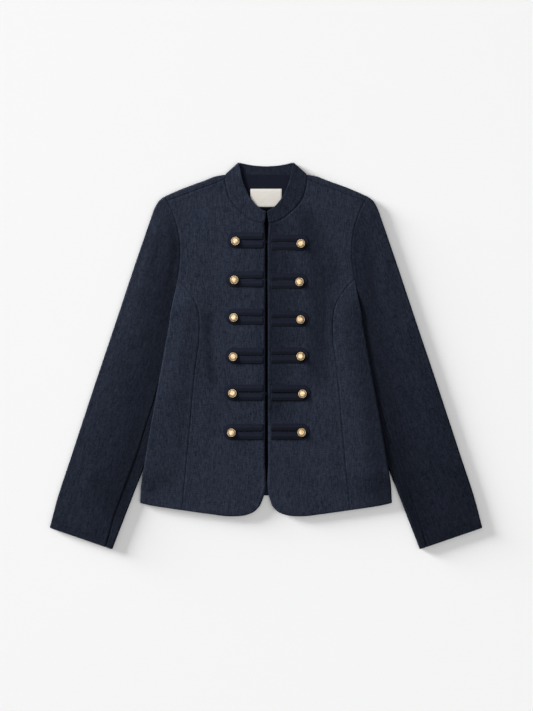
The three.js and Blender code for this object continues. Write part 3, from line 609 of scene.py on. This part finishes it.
def back():
    """The back: flat on the surface, rolled up at its side folds and wrapped forward over the shoulders."""
    neck_fold = [(x, y - seam_gap / 2) for x, y in back_neck]
    neck_seam = [(x, y - 2 * fold_radius) for x, y in back_neck]

    def whole(shoulder, neck):
        outside = smooth(shoulder[::-1])
        across_neck = smooth([*neck, *[(-x, y) for x, y in neck[-2::-1]]])
        first_step = smooth([outside[-1], across_neck[0]])
        last_step = smooth([across_neck[-1], mirror(outside[-1:])[0]])
        return mirror(join(outside, first_step, across_neck, last_step, mirror(outside[::-1])))

    fold, seam = whole(shoulder_fold, neck_fold), whole(shoulder_seam, neck_seam)
    inward = (seam - fold) / np.linalg.norm(seam - fold, axis=1, keepdims=True)
    count = len(fold)
    shares = np.linspace(0, 1, count)
    neck_start = (len(shoulder_fold) - 1) * steps
    at_neck = (np.arange(count) > neck_start) & (np.arange(count) < count - 1 - neck_start)
    top = fold + fold_radius * inward
    right = join(np.vstack([top[-1], armhole_line[steps // 2]]), armhole_line[steps // 2:], fold_line)
    corner = side_fold[-1]
    hem_x = np.linspace(-corner[0], corner[0], count)
    bottom = np.column_stack([hem_x, corner[1] + back_hem_rise * (1 - (hem_x / corner[0]) ** 2)])
    left = mirror(right)
    turns = turn_steps()
    places, edges, rolls = [], [], []
    middle = shares[2:-2]
    spread = (middle - middle[0]) / (middle[-1] - middle[0])
    for share in rows_down(110):
        width = np.linalg.norm(at(right, share) - at(left, share))
        reach = turns / width
        low, high = 2 * reach[-1], 1 - 2 * reach[-1]
        across = np.concatenate([reach, low + (high - low) * spread, 1 - reach[::-1]])
        row = fill(top, right, bottom, left, across, np.full(len(across), share))
        places.append(row)
        edges.append(np.concatenate([turns, np.full(len(middle), fold_radius), turns[::-1]]))
        rolls.append(roll_at(row[:, 1]))
    places, edges, rolls = (np.array(value) for value in (places, edges, rolls))
    columns = places.shape[1]
    outward = np.where(np.arange(columns)[:, None] < columns / 2, (-1, 0), (1, 0)).astype(float)
    relief = np.minimum(crease_relief(places, creases["back"]), 0) * (edges >= fold_radius)
    relief += edge_relief(distance(places, bottom), ridge=0) * (edges >= fold_radius)
    outer, inner = cloth_points(places, -1, edges, outward, rolls, relief=relief)
    first_reach = turns / np.linalg.norm(right[0] - left[0])
    first = np.concatenate([first_reach, middle, 1 - first_reach[::-1]])
    over_outer, over_inner = [], []
    row_roll = np.where(at(at_neck[:, None].astype(float), first)[:, 0] > 0.5, 0.0, 1.0)
    fold_row, seam_row = at(fold, first), at(seam, first)
    way = (seam_row - fold_row) / np.linalg.norm(seam_row - fold_row, axis=1, keepdims=True)
    length = np.linalg.norm(seam_row - fold_row, axis=1)
    from_seam = np.array([0, 0.5, 1.2, 2.2])
    for reach in from_seam:
        here = (seam_row - way * reach)[None]
        one = cloth_points(here, 1, fold_radius, (0, 1), 1, lifted=False, relief=seam_relief(reach))
        over_outer.append(one[0][0])
        over_inner.append(one[1][0])
    for edge, up in [*[(edge, 1) for edge in turns[::-1]], *[(edge, -1) for edge in turns[1:-1]]]:
        here = (fold_row + way * np.minimum(edge, 0.62 * length)[:, None])[None]
        one = cloth_points(here, up, edge, -way[None], row_roll[None], lifted=False)
        over_outer.append(one[0][0])
        over_inner.append(one[1][0])
    outer = np.concatenate([np.array(over_outer), outer])
    inner = np.concatenate([np.array(over_inner), inner])
    keep = np.ones((outer.shape[0] - 1, columns - 1), bool)
    neck_columns = row_roll < 0.5
    keep[:len(from_seam) + len(turns)] = ~(neck_columns[1:] | neck_columns[:-1])
    # Painted shade in the shoulder seams' creases
    shade = np.zeros(outer.shape[:2])
    shade[:len(from_seam)] = seam_shade(from_seam)[:, None]
    return shell("back_cloth", outer, inner, 1, keep, shade)


sleeve_inner_line, sleeve_outer_line = smooth(sleeve_inner), smooth(sleeve_outer)
cap_line = even(upper_armhole[::-1])
cuff_line = np.linspace(sleeve_inner[-1], sleeve_outer[-1], 2)
strip_line = smooth([(0, value) for value in sleeve_strip])[:, 1:]


def sleeve_rows():
    """For each row of a sleeve: its share down, width, front seam, and how it meets its two folds."""
    for share in rows_down(140, [0.0006, 0.0016, 0.003]):
        start, end = at(sleeve_inner_line, share), at(sleeve_outer_line, share)
        width = np.linalg.norm(end - start)

        def place(across, share=share):
            across = np.atleast_1d(across)
            down = np.full(len(across), share)
            return fill(cap_line, sleeve_outer_line, cuff_line, sleeve_inner_line, across, down)

        in_way, out_way = place(0)[0] - place(0.02)[0], place(1)[0] - place(0.98)[0]
        inner_out = out_over(sleeve_inner_line, share, in_way / np.linalg.norm(in_way))
        outer_out = out_over(sleeve_outer_line, share, out_way / np.linalg.norm(out_way))
        strip = max(float(at(strip_line, share)[0]), 0)
        yield share, width, strip, place, inner_out, outer_out, float(roll_at(start[1]))


def sleeve_relief(places, side, where, ups, calm):
    """Creases, unevenness and the swell of its middle on a sleeve. What lies below stays off the surface that
    it lies on.
    """
    relief = crease_relief(places, creases[f"sleeve_{where}"]) + ripple(places, 9 + side, *sleeve_ripple)
    inner, outer = distance(places, sleeve_inner_line), distance(places, sleeve_outer_line)
    share = inner / np.maximum(inner + outer, 1e-6)
    relief += sleeve_fill[where] * 4 * share * (1 - share)
    return np.where(ups > 0, relief, np.minimum(relief, 0) * 0.5) * calm


def top_sleeve(side, where):
    """A top sleeve: from the front seam over the outer fold to the elbow seam underneath."""
    turns = turn_steps()
    rows = []
    for _, width, strip, place, _, (outward, stretch), _ in sleeve_rows():
        reach = turns * stretch / width
        start = (strip + sleeve_slack * (1 - smoothstep(strip, 0, slack_strip))) / width
        near = start + edge_steps / width
        above = np.concatenate([near, np.linspace(near[-1], 1 - 2 * reach[-1], 36)[1:]])
        below = np.linspace(1 - 2 * reach[-1], 1 - elbow_inset / width, 12)
        across = np.concatenate([above, 1 - reach[::-1], 1 - reach[1:], below])
        here = place(across)
        ups = np.concatenate([np.ones(len(above) + len(reach)), -np.ones(len(reach) - 1 + len(below))])
        edges = np.concatenate([
            np.full(len(above), fold_radius), turns[::-1], turns[1:], np.full(len(below), fold_radius),
        ])
        rows.append((here, ups, edges, np.broadcast_to(outward, here.shape), (across - start) * width))
    places, ups, edges, outs, from_seam = (np.array(value) for value in zip(*rows))
    cap, cuff = distance(places, cap_line), distance(places, cuff_line)
    relief = seam_relief(np.where(ups > 0, from_seam, far_away), sleeve_seam_depth)
    relief = relief + np.where(ups > 0, seam_relief(cap), 0) + edge_relief(cuff, cuff_radius, 0.2)
    calm = smoothstep(np.minimum(cap, cuff), 2, 20) * (edges >= fold_radius)
    calm = calm * smoothstep(distance(places, sleeve_outer_line), 5, 18)
    relief = np.where(ups > 0, relief, np.minimum(relief, 0))
    relief = relief + sleeve_relief(places, side, where, ups, calm)
    outer, inner = cloth_points(places, ups, edges, outs, 1, False, relief)
    # Painted shade: the seams' creases and the broad soft hollow places, on the part that faces up
    shade = np.maximum(seam_shade(cap), seam_shade(from_seam))
    shade = np.where(ups > 0, np.maximum(shade, broad_shade(places, painted_hollow_shade[f"sleeve_{where}"])), 0)
    return shell(f"top_sleeve_{where}_cloth", outer, inner, side, shade=shade)


def under_sleeve(side, where):
    """An under sleeve: from the elbow seam along the surface, over the inner fold to the front seam."""
    turns = turn_steps()
    rows = []
    for share, width, strip, place, (outward, stretch), _, roll in sleeve_rows():
        reach = turns * stretch / width
        strip = max(strip, 1.02 * reach[-1] * width if share > turned_share else 0)
        low = np.linspace(1 - elbow_inset / width, reach[-1], 34)[:-1]
        high = np.linspace(min(reach[-1], strip / width), strip / width, 10)[1:]
        over, over_edges, high_edges, up = reach[1:], turns[1:], np.full(len(high), fold_radius), 1
        if strip <= 0:
            over, high = np.zeros(len(over)), np.zeros(len(high))
            over_edges, high_edges, up = over, high, -1
        across = np.concatenate([low, reach[::-1], over, high])
        here = place(across)
        edges = np.concatenate([np.full(len(low), fold_radius), turns[::-1], over_edges, high_edges])
        ups = np.concatenate([-np.ones(len(low) + len(reach)), np.full(len(over) + len(high), up)])
        outs, rolls = np.broadcast_to(outward, here.shape), np.full(len(across), roll)
        rows.append((here, ups, edges, outs, rolls, strip - across * width))
    places, ups, edges, outs, rolls, strips = (np.array(value) for value in zip(*rows))
    flat_part = (edges >= fold_radius) & (ups > 0)
    from_seam = np.maximum(strips, 0)
    relief = np.where(flat_part, seam_relief(from_seam, sleeve_seam_depth), 0)
    relief = relief + edge_relief(distance(places, cuff_line), cuff_radius, 0)
    outer, inner = cloth_points(places, ups, edges, outs, rolls, False, relief)
    # Painted shade: the front seam's crease and the broad soft hollow places, on the strip that shows
    shade = np.maximum(seam_shade(from_seam), broad_shade(places, painted_hollow_shade[f"sleeve_{where}"]))
    shade = np.where(flat_part, shade, 0)
    return shell(f"under_sleeve_{where}_cloth", outer, inner, side, shade=shade)


def collar():
    """The stand collar: its front halves face up, and its back half is folded under them at each side."""
    band = np.concatenate([
        [0, 0.02, 0.05, 0.09, 0.14, 0.2], np.linspace(0.28, 0.8, 8), [0.86, 0.9, 0.935, 0.96, 0.98, 1],
    ])
    turns = turn_steps()
    fold_neck, fold_top = np.array(collar_fold_neck), np.array(collar_fold_top)
    way = (fold_top - fold_neck) / np.linalg.norm(fold_top - fold_neck)
    fold_neck = fold_neck + collar_fold_inset * way
    fold_out = np.array([way[1], -way[0]])

    def across(neck, top):
        neck, top = np.array(neck)[..., None, :], np.array(top)[..., None, :]
        return neck * (1 - band[:, None]) + top * band[:, None]

    def half(side):
        neck = smooth([(opening(collar_front_neck, side), collar_front_neck), *collar_neck[::-1]])
        top = smooth([(opening(collar_front_top, side), collar_front_top), *collar_top[::-1]])
        start = np.linalg.norm(neck[1] - neck[0])
        first = np.interp([0, 0.3, 0.8, 1.5, 2.4], [0, start], [0, 1])
        front_part = across(at(neck, first / (len(neck) - 1)), at(top, first / (len(neck) - 1)))
        front_part = np.concatenate([front_part, across(neck[2:], top[2:])])
        fold_section = across(fold_neck, fold_top)
        back_neck_line = smooth([tuple(fold_neck), *back_neck[1:]])
        back_top_line = smooth([tuple(fold_top), *back_collar_top[1:]])
        back_part = across(back_neck_line, back_top_line)
        near_front, near_back = front_part[-1], back_part[steps]

        def turned(near, edge):
            depth = np.maximum(((fold_section - near) @ fold_out), fold_radius)
            return fold_section + (near - fold_section) * (edge / depth)[:, None]

        strips = [(row, fold_radius, 1) for row in front_part[:-1]]
        strips += [(turned(near_front, edge), edge, 1) for edge in turns[::-1]]
        strips += [(turned(near_back, edge), edge, -1) for edge in turns[1:]]
        strips += [(row, fold_radius, -1) for row in back_part[3:]]
        places = np.array([row for row, _, _ in strips]) * (side, 1)
        edges = np.array([np.full(len(band), edge) for _, edge, _ in strips])
        ups = np.array([np.full(len(band), up) for _, _, up in strips])
        return places, edges, ups, fold_out * (side, 1)

    parts = [half(side) for side in (1, -1)]
    halves = []
    for side, (places, edges, ups, outward) in zip((1, -1), parts):
        width = np.linalg.norm(places[:, -1] - places[:, 0], axis=1)[:, None]
        from_neck, from_top = band * width, (1 - band) * width
        front_end = np.linalg.norm(places - places[:1], axis=-1)
        relief = seam_relief(from_neck, 0.8, 0.3) + edge_relief(from_top, 1.4, 0.25)
        relief = relief + edge_relief(front_end, 1.4, 0.1)
        calm = smoothstep(np.minimum(from_neck, from_top), 1, 8)
        relief += ripple(places, 21 + side, *collar_ripple) * calm
        from_fold = (fold_neck * (side, 1) - places) @ outward
        relief += collar_rise * band * smoothstep(from_fold, fold_radius, 24)
        relief = np.where(ups > 0, relief, np.minimum(relief, 0)) * np.where(edges >= fold_radius, 1, 0.4)
        # Painted shade: each half by its side, the back half darker, and the neck seam's crease
        shade = np.where(ups > 0, collar_shade[side], collar_back_shade)
        shade = np.maximum(seam_shade(from_neck), shade)
        halves.append((*cloth_points(places, ups, edges, outward, 1, False, relief), shade))
    right, left = halves
    outer, inner, shade = (np.concatenate([left[k], right[k][-2::-1]]) for k in range(3))
    return shell("collar_cloth", outer, inner, shade=shade)


def lining():
    """The back lining, a plate with a pleat down its middle and the slack of a loose lining."""
    row_step, columns = 4, 33
    top, bottom = lining_outline[0][0], lining_outline[-1][0]
    rows = np.minimum(np.arange(bottom, top + row_step, row_step), top)[::-1]
    x = from_table(lining_outline, rows)[:, None] * np.linspace(-1, 1, columns)
    y = np.broadcast_to(rows[:, None], x.shape)
    places = np.dstack([x, y])
    pleat = 0.7 * np.exp(-(((x - 3) / 5) ** 2)) - 0.1 * np.exp(-(((x + 6) / 3) ** 2))
    pleat = pleat * smoothstep(-y, -300, -200)
    height = lining_height + np.clip(pleat + 0.25 + ripple(places, 31, *lining_ripple), 0, 1.6)
    outer = np.dstack([places, height + lining_thickness])
    inner = np.dstack([places, height])
    return shell("back_lining_cloth", outer, inner)


def label():
    """A bare woven label, sewn down along its top, with its edges turned under."""
    rows = np.linspace(0, 1, 26)
    columns = np.linspace(-0.5, 0.5, 36)
    x, y = np.meshgrid(columns * label_width, label_top - rows * label_height)
    places = np.dstack([x, y])
    border = np.minimum(label_top - y, y - label_top + label_height)
    border = np.minimum(label_width / 2 - np.abs(x), border)
    height = lining_height + lining_thickness + seam_gap + 0.9
    bow = 0.5 * np.sin(rows * math.pi)[:, None] + 0.12 * np.sin(x / 6 + y / 9)
    stitched = -0.35 * np.exp(-(((label_top - y - 2) / 0.9) ** 2))
    outer = np.dstack([places, height + bow + stitched - 0.5 * np.exp(-border / 0.5)])
    inner = np.dstack([places, np.broadcast_to(height - 0.8, x.shape) + bow * 0.5])
    return shell("neck_label_cloth", outer, inner)


def braid_length(side, k):
    """The length of a braid trim's ribbon, round its folded end."""
    return 2 * (button_rows[side][k][0] - braid_inner_end[side]) + math.pi * braid_middle


def ribbon(side, where, k):
    """A braid ribbon folded in a round end about its button, with its two ends at the front edge."""
    button_x, button_y = button_rows[side][k]
    middle = braid_middle
    straight = np.arange(braid_inner_end[side], button_x, 0.5)
    turns = np.linspace(-math.pi / 2, math.pi / 2, 46)[1:-1]
    path = np.concatenate([
        np.column_stack([straight, np.full(len(straight), -middle)]),
        np.column_stack([button_x + middle * np.cos(turns), middle * np.sin(turns)]),
        np.column_stack([straight[::-1], np.full(len(straight), middle)]),
    ])
    away = np.concatenate([
        np.tile((0.0, -1.0), (len(straight), 1)),
        np.column_stack([np.cos(turns), np.sin(turns)]),
        np.tile((0.0, 1.0), (len(straight), 1)),
    ])
    run = np.concatenate([[0], np.cumsum(np.linalg.norm(np.diff(path, axis=0), axis=1))])
    share = np.array([-1, -0.96, -0.88, -0.8, -0.72, -0.5, -0.25, 0, 0.25, 0.5, 0.72, 0.8, 0.88, 0.96, 1])
    edge_cord = 0.35 * np.exp(-(((np.abs(share) - 0.88) / 0.07) ** 2))
    crown = 0.9 * (1 - share**2) + 0.16 * np.cos(5 * math.pi * share) + edge_cord
    crown = crown - 0.75 * (np.abs(share) > 0.99)
    ribs = 0.16 * np.sin(2 * math.pi * run / rib_pitch)[:, None] * (1 - share**4)
    wave = 0.06 * np.sin(run / 9 + 2 * k + side)[:, None]
    tuck = np.minimum(np.minimum(run, run[-1] - run) / 1.5, 1)[:, None]
    height = (braid_thickness - 0.7 + crown[None]) * np.sqrt(tuck) + 0.25 + ribs + wave
    base = flat_height + 0.05
    places = path[:, None] + away[:, None] * (share[:, None] * braid_width / 2)
    places = places + (0, button_y + braid_above)
    outer = np.dstack([places, base + height])
    inner = np.dstack([places, np.full(places.shape[:-1], base)])
    # Painted shade: darker along the ribbon's edges and over the lower half of each leg, and over the whole
    # braid of the front away from the light
    edge_shade = 0.6 * smoothstep(np.abs(share), 0.78, 1)
    lower_shade = 0.72 * smoothstep(-share * away[:, 1:], -0.15, 0.75)
    shade = np.clip(np.maximum(edge_shade[None], lower_shade) + braid_shade[side], 0, 1)
    return shell(f"braid_{where}_{k + 1}_ribbon", outer, inner, side, shade=shade)


def tube_faces(rings, count):
    """The faces between the rings of a dome or a wire."""
    return [
        (i * count + j, i * count + (j + 1) % count, (i + 1) * count + (j + 1) % count, (i + 1) * count + j)
        for i in range(rings - 1) for j in range(count)
    ]


def dome(side, where, k):
    """A stamped and domed metal button with a rolled rim, tilted a little on its thread."""
    x, y = button_rows[side][k]
    section = smooth(button_section, 3)
    count = 56
    angles = np.linspace(0, 2 * math.pi, count, endpoint=False)
    tilt = np.random.default_rng(50 + 10 * k + side).uniform(-button_lean, button_lean, 2)
    if (side, k) == leaning_button:
        tilt = np.array(leaning_tilt)
    points = np.array([
        np.column_stack([radius * np.cos(angles), radius * np.sin(angles), np.full(count, height)])
        for radius, height in section
    ])
    points[..., 2] += points[..., :2] @ tilt + np.abs(tilt).sum() * button_radius * 0.5
    points = points.reshape(-1, 3) + (side * x, y, button_base - 0.3)
    return make(f"button_{where}_{k + 1}_dome", points, tube_faces(len(section), count))


def wire(name, corners, height, y):
    """A bent wire lying level, with round ends."""
    path = smooth(corners)
    tangent = np.gradient(path, axis=0)
    tangent /= np.linalg.norm(tangent, axis=1, keepdims=True)
    beside = np.column_stack([-tangent[:, 1], tangent[:, 0]])
    count = 10
    angles = np.linspace(0, 2 * math.pi, count, endpoint=False)
    from_end = np.minimum(np.arange(len(path)), np.arange(len(path))[::-1])
    radius = wire_radius * np.sqrt(np.clip(from_end / 2, 0.02, 1))[:, None]
    level = path[:, None] + beside[:, None] * (radius * np.cos(angles))[..., None] + (0, y)
    points = np.dstack([level, height + radius * np.sin(angles)]).reshape(-1, 3)
    caps = [tuple(range(count)), tuple(range((len(path) - 1) * count, len(path) * count))]
    return make(name, points, tube_faces(len(path), count) + caps)


# Materials

# How much of the painted shade's dark colour full shade takes
shade_strength = 0.7


def linear(colour):
    """A linear colour from an sRGB hex value."""
    parts = [int(colour[k:k + 2], 16) / 255 for k in (0, 2, 4)]
    return tuple(c / 12.92 if c <= 0.04045 else ((c + 0.055) / 1.055) ** 2.4 for c in parts) + (1,)


def put(tree, node, links):
    """A value or another node's output on each named input of a node."""
    for key, value in links.items():
        if isinstance(value, bpy.types.NodeSocket):
            tree.links.new(value, node.inputs[key])
        else:
            node.inputs[key].default_value = value


def add(tree, kind, links, **settings):
    """A node with its settings and its inputs."""
    node = tree.nodes.new(kind)
    for key, value in settings.items():
        setattr(node, key, value)
    put(tree, node, links)
    return node


def noise(tree, place, size, detail=2, roughness=0.5):
    """Noise whose coarsest grain is a size in metres."""
    links = {"Vector": place, "Scale": 1 / size, "Detail": detail, "Roughness": roughness}
    return add(tree, "ShaderNodeTexNoise", links).outputs[0]


def threads(tree, place, size):
    """Places for a long grain: its sizes across, along and through the cloth are in metres."""
    return add(tree, "ShaderNodeMapping", {"Vector": place, "Scale": [1 / part for part in size]}).outputs[0]


def mix_value(tree, share, first, second):
    """A value between two others."""
    return add(tree, "ShaderNodeMix", {0: share, 2: first, 3: second}, data_type="FLOAT").outputs[0]


def mix_colour(tree, share, first, second):
    """A colour between two others."""
    return add(tree, "ShaderNodeMix", {0: share, 6: first, 7: second}, data_type="RGBA").outputs[2]


def ramp(tree, share, *stops):
    """A colour ramp between two stops, each a place and a colour."""
    node = add(tree, "ShaderNodeValToRGB", {"Fac": share})
    for element, (place, colour) in zip(node.color_ramp.elements, stops):
        element.position = place
        element.color = linear(colour)
    return node.outputs[0]


def height_up(tree, place):
    """How far up the jacket a place is, in metres."""
    return add(tree, "ShaderNodeSeparateXYZ", {"Vector": place}).outputs["Y"]


def shaded(tree, colour, dark):
    """A colour that turns darker as far as the points' painted shade says."""
    amount = add(tree, "ShaderNodeAttribute", {}, attribute_name="shade").outputs["Fac"]
    depth = add(tree, "ShaderNodeMath", {0: amount, 1: shade_strength}, operation="MULTIPLY").outputs[0]
    return mix_colour(tree, depth, colour, linear(dark))


def start(name):
    """A new material with its shader and the places on its piece."""
    material = bpy.data.materials.new(name)
    material.use_nodes = True
    tree = material.node_tree
    return material, tree, add(tree, "ShaderNodeTexCoord", {}).outputs["Object"]


def finish(material, sockets, bump=None):
    """The shader's sockets, and a bump from a height, a strength and a depth in metres."""
    tree = material.node_tree
    shader = tree.nodes["Principled BSDF"]
    if bump:
        height, strength, depth = bump
        bumped = add(tree, "ShaderNodeBump", {"Height": height, "Strength": strength, "Distance": depth})
        sockets = {**sockets, "Normal": bumped.outputs[0]}
    put(tree, shader, sockets)
    return material


def worsted_twill(name, lean, kept=(1, 1)):
    """Melange worsted twill: dyed and undyed fibres are spun together, so it reads as navy with fine
    lighter threads along the grain. The threads are 0.5 mm apart and are drawn 1.5 mm apart, as coarse as
    they show. kept tells how much of its colour it keeps under painted shade at the hem and at the top, and
    the points' painted shade darkens it further."""
    material, tree, place = start(name)
    grain = add(tree, "ShaderNodeMapping", {"Vector": place, "Rotation": (0, 0, lean)}).outputs[0]
    streak = noise(tree, threads(tree, grain, (0.0015, 0.01, 0.02)), 1, roughness=0.6)
    pick = noise(tree, threads(tree, grain, (0.006, 0.0014, 0.02)), 1, roughness=0.6)
    woven = mix_value(tree, 0.38, streak, pick)
    specked = mix_value(tree, 0.2, woven, noise(tree, grain, 0.0022, detail=1))
    clouded = mix_value(tree, 0.08, specked, noise(tree, grain, 0.07))
    tone = ramp(tree, clouded, (0.37, "161c26"), (0.65, "363b4b"))
    # Painted shade: the colour fades toward black between the hem and the top, by the two shares in kept
    span = {"Value": height_up(tree, place), "From Min": -0.25, "From Max": 0.2}
    share = add(tree, "ShaderNodeMapRange", {**span, "To Min": kept[0], "To Max": kept[1]}).outputs[0]
    colour = shaded(tree, mix_colour(tree, share, (0, 0, 0, 1), tone), "0a0c12")
    sockets = {"Base Color": colour, "Roughness": 0.92, "Specular IOR Level": 0.04}
    return finish(material, sockets, (woven, 0.35, 0.0004))


def cupro_lining():
    """Cupro lining: a smooth filament weave with a low, even sheen, navy at the neck and, as painted shadow,
    nearly black below.
    """
    material, tree, place = start("cupro lining")
    weave = noise(tree, place, 0.002)
    # Painted shadow: below the neck the lining's colour is nearly black
    span = {"Value": height_up(tree, place), "From Min": 0.262, "From Max": 0.272}
    inside = add(tree, "ShaderNodeMapRange", span).outputs[0]
    tone = mix_colour(tree, weave, linear("14161f"), linear("1e202e"))
    colour = mix_colour(tree, inside, linear("020203"), tone)
    sockets = {"Base Color": colour, "Roughness": 0.6, "Specular IOR Level": 0.015}
    return finish(material, sockets, (weave, 0.15, 0.0002))


def label_satin():
    """Woven label satin: close cream threads, matt, with faint rows across it."""
    material, tree, place = start("woven label satin")
    weave = noise(tree, threads(tree, place, (0.009, 0.0016, 0.01)), 1)
    colour = mix_colour(tree, weave, linear("c9c4bc"), linear("dedad3"))
    return finish(material, {"Base Color": colour, "Roughness": 0.7}, (weave, 0.2, 0.0002))


def grosgrain():
    """Viscose grosgrain braid: a matt face with a fine grain, a little darker than the cloth under it."""
    material, tree, place = start("viscose grosgrain braid")
    fine = noise(tree, place, 0.0016, roughness=0.6)
    # The ribbons' painted shade darkens this colour
    colour = shaded(tree, mix_colour(tree, fine, linear("0b0d16"), linear("242a3b")), "07080d")
    sockets = {"Base Color": colour, "Roughness": 0.8, "Specular IOR Level": 0.1}
    return finish(material, sockets, (fine, 0.3, 0.0003))


def plated_brass():
    """Pale gold plated brass: stamped and tumbled, so it mirrors the room softly, with duller spots."""
    material, tree, place = start("plated brass")
    spots = noise(tree, place, 0.0028, roughness=0.6)
    colour = ramp(tree, spots, (0.36, "c39c69"), (0.6, "fce4bd"))
    rough = add(tree, "ShaderNodeMapRange", {"Value": spots, "To Min": 0.5, "To Max": 0.34}).outputs[0]
    sockets = {"Base Color": colour, "Roughness": rough, "Metallic": 1}
    return finish(material, sockets, (spots, 0.08, 0.0003))


def lacquered_wire():
    """Lacquered steel wire: dark, with a small glint along its top."""
    material, tree, place = start("lacquered steel wire")
    colour = mix_colour(tree, noise(tree, place, 0.001), linear("1c1d20"), linear("46474b"))
    return finish(material, {"Base Color": colour, "Roughness": 0.35, "Metallic": 1})


def stage_paper():
    """Coated background paper: even, matt and nearly white."""
    material, tree, place = start("background paper")
    colour = mix_colour(tree, noise(tree, place, 0.003), linear("f3f3f3"), linear("f6f6f6"))
    return finish(material, {"Base Color": colour, "Roughness": 0.9, "Specular IOR Level": 0.1})


# The sleeves' grain runs down their length
sleeve_lean = math.radians(19)
# Painted shade: the body's cloth is a tenth darker at the top, and each sleeve's copy is darker towards its
# cuff
body_cloth = worsted_twill("worsted twill", 0, (1, 0.9))
sleeve_cloth = {
    "left": worsted_twill("worsted twill, left sleeve", -sleeve_lean, (0.56, 0.82)),
    "right": worsted_twill("worsted twill, right sleeve", sleeve_lean, (0.66, 0.78)),
}
lining_cloth, label_cloth, braid_cloth = cupro_lining(), label_satin(), grosgrain()
brass, steel_wire = plated_brass(), lacquered_wire()


# Pieces

def place_piece(piece, node, material):
    """A finished piece in the place of its solid."""
    piece.data.materials.append(material)
    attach(piece, "root")
    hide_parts(node)
    return piece


place_piece(back(), "back", body_cloth)
lining_piece = place_piece(lining(), "back_lining", lining_cloth)
label_piece = place_piece(label(), "neck_label", label_cloth)
for where, side in sides.items():
    top = place_piece(top_sleeve(side, where), f"top_sleeve_{where}", sleeve_cloth[where])
    under = place_piece(under_sleeve(side, where), f"under_sleeve_{where}", sleeve_cloth[where])
    fronts = place_piece(front(side, where), f"front_{where}", body_cloth)
    panel = place_piece(side_front(side, where), f"side_front_{where}", body_cloth)
    for k in range(6):
        trim = place_piece(ribbon(side, where, k), f"braid_{where}_{k + 1}", braid_cloth)
        braid_length(side, k)
        place_piece(dome(side, where, k), f"button_{where}_{k + 1}", brass)
collar_piece = place_piece(collar(), "collar", body_cloth)

eye_height = lining_height + lining_thickness + seam_gap + wire_radius
hook_height = flat_height - cloth_wall - seam_gap - wire_radius
for k, y in enumerate(hook_heights, 1):
    place_piece(wire(f"eye_{k}_wire", eye_path, eye_height, y), f"eye_{k}", steel_wire)
    place_piece(wire(f"hook_{k}_wire", hook_path, hook_height, y), f"hook_{k}", steel_wire)


# Floor and lights

floor_half = 3.0
floor_mesh = bpy.data.meshes.new("floor")
corners = [(x * floor_half, y * floor_half, 0) for x, y in ((-1, -1), (1, -1), (1, 1), (-1, 1))]
floor_mesh.from_pydata(corners, [], [(0, 1, 2, 3)])
floor = bpy.data.objects.new("floor", floor_mesh)
bpy.context.scene.collection.objects.link(floor)
floor.data.materials.append(stage_paper())


def soft_light(name, place, size, power, receivers=None):
    """A soft box that faces the jacket, and lights only its receivers where it has any."""
    data = bpy.data.lights.new(name, "AREA")
    data.shape = "SQUARE"
    data.size = size
    data.energy = power
    light = bpy.data.objects.new(name, data)
    light.location = place
    light.rotation_euler = Vector(place).to_track_quat("Z", "Y").to_euler()
    light.light_linking.receiver_collection = receivers
    bpy.context.scene.collection.objects.link(light)


jacket_only = bpy.data.collections.new("lit by the key")
jacket_only.objects.link(floor)
floor_only = bpy.data.collections.new("lit by the low light")
floor_only.objects.link(floor)
buttons_only = bpy.data.collections.new("lit by the reflector")
for item in list(bpy.data.objects):
    if item.name.endswith("_dome"):
        buttons_only.objects.link(item)
        jacket_only.objects.link(item)
for entry in jacket_only.collection_objects:
    entry.light_linking.link_state = "EXCLUDE"
soft_light("key soft box", (-2.3, 1.9, 1.3), 0.9, 151, jacket_only)
soft_light("low soft box", (-15.4, 7.8, 1.5), 6.0, 13400, floor_only)
soft_light("floor soft box", (1.4, -0.7, 3.2), 4.4, 39, floor_only)
soft_light("reflector", (-0.4, 0.4, 2.2), 9.0, 245, buttons_only)

world = bpy.data.worlds.new("studio")
bpy.context.scene.world = world
world.use_nodes = True
world.node_tree.nodes["Background"].inputs["Color"].default_value = (1, 1, 1, 1)
world.node_tree.nodes["Background"].inputs["Strength"].default_value = 0.41
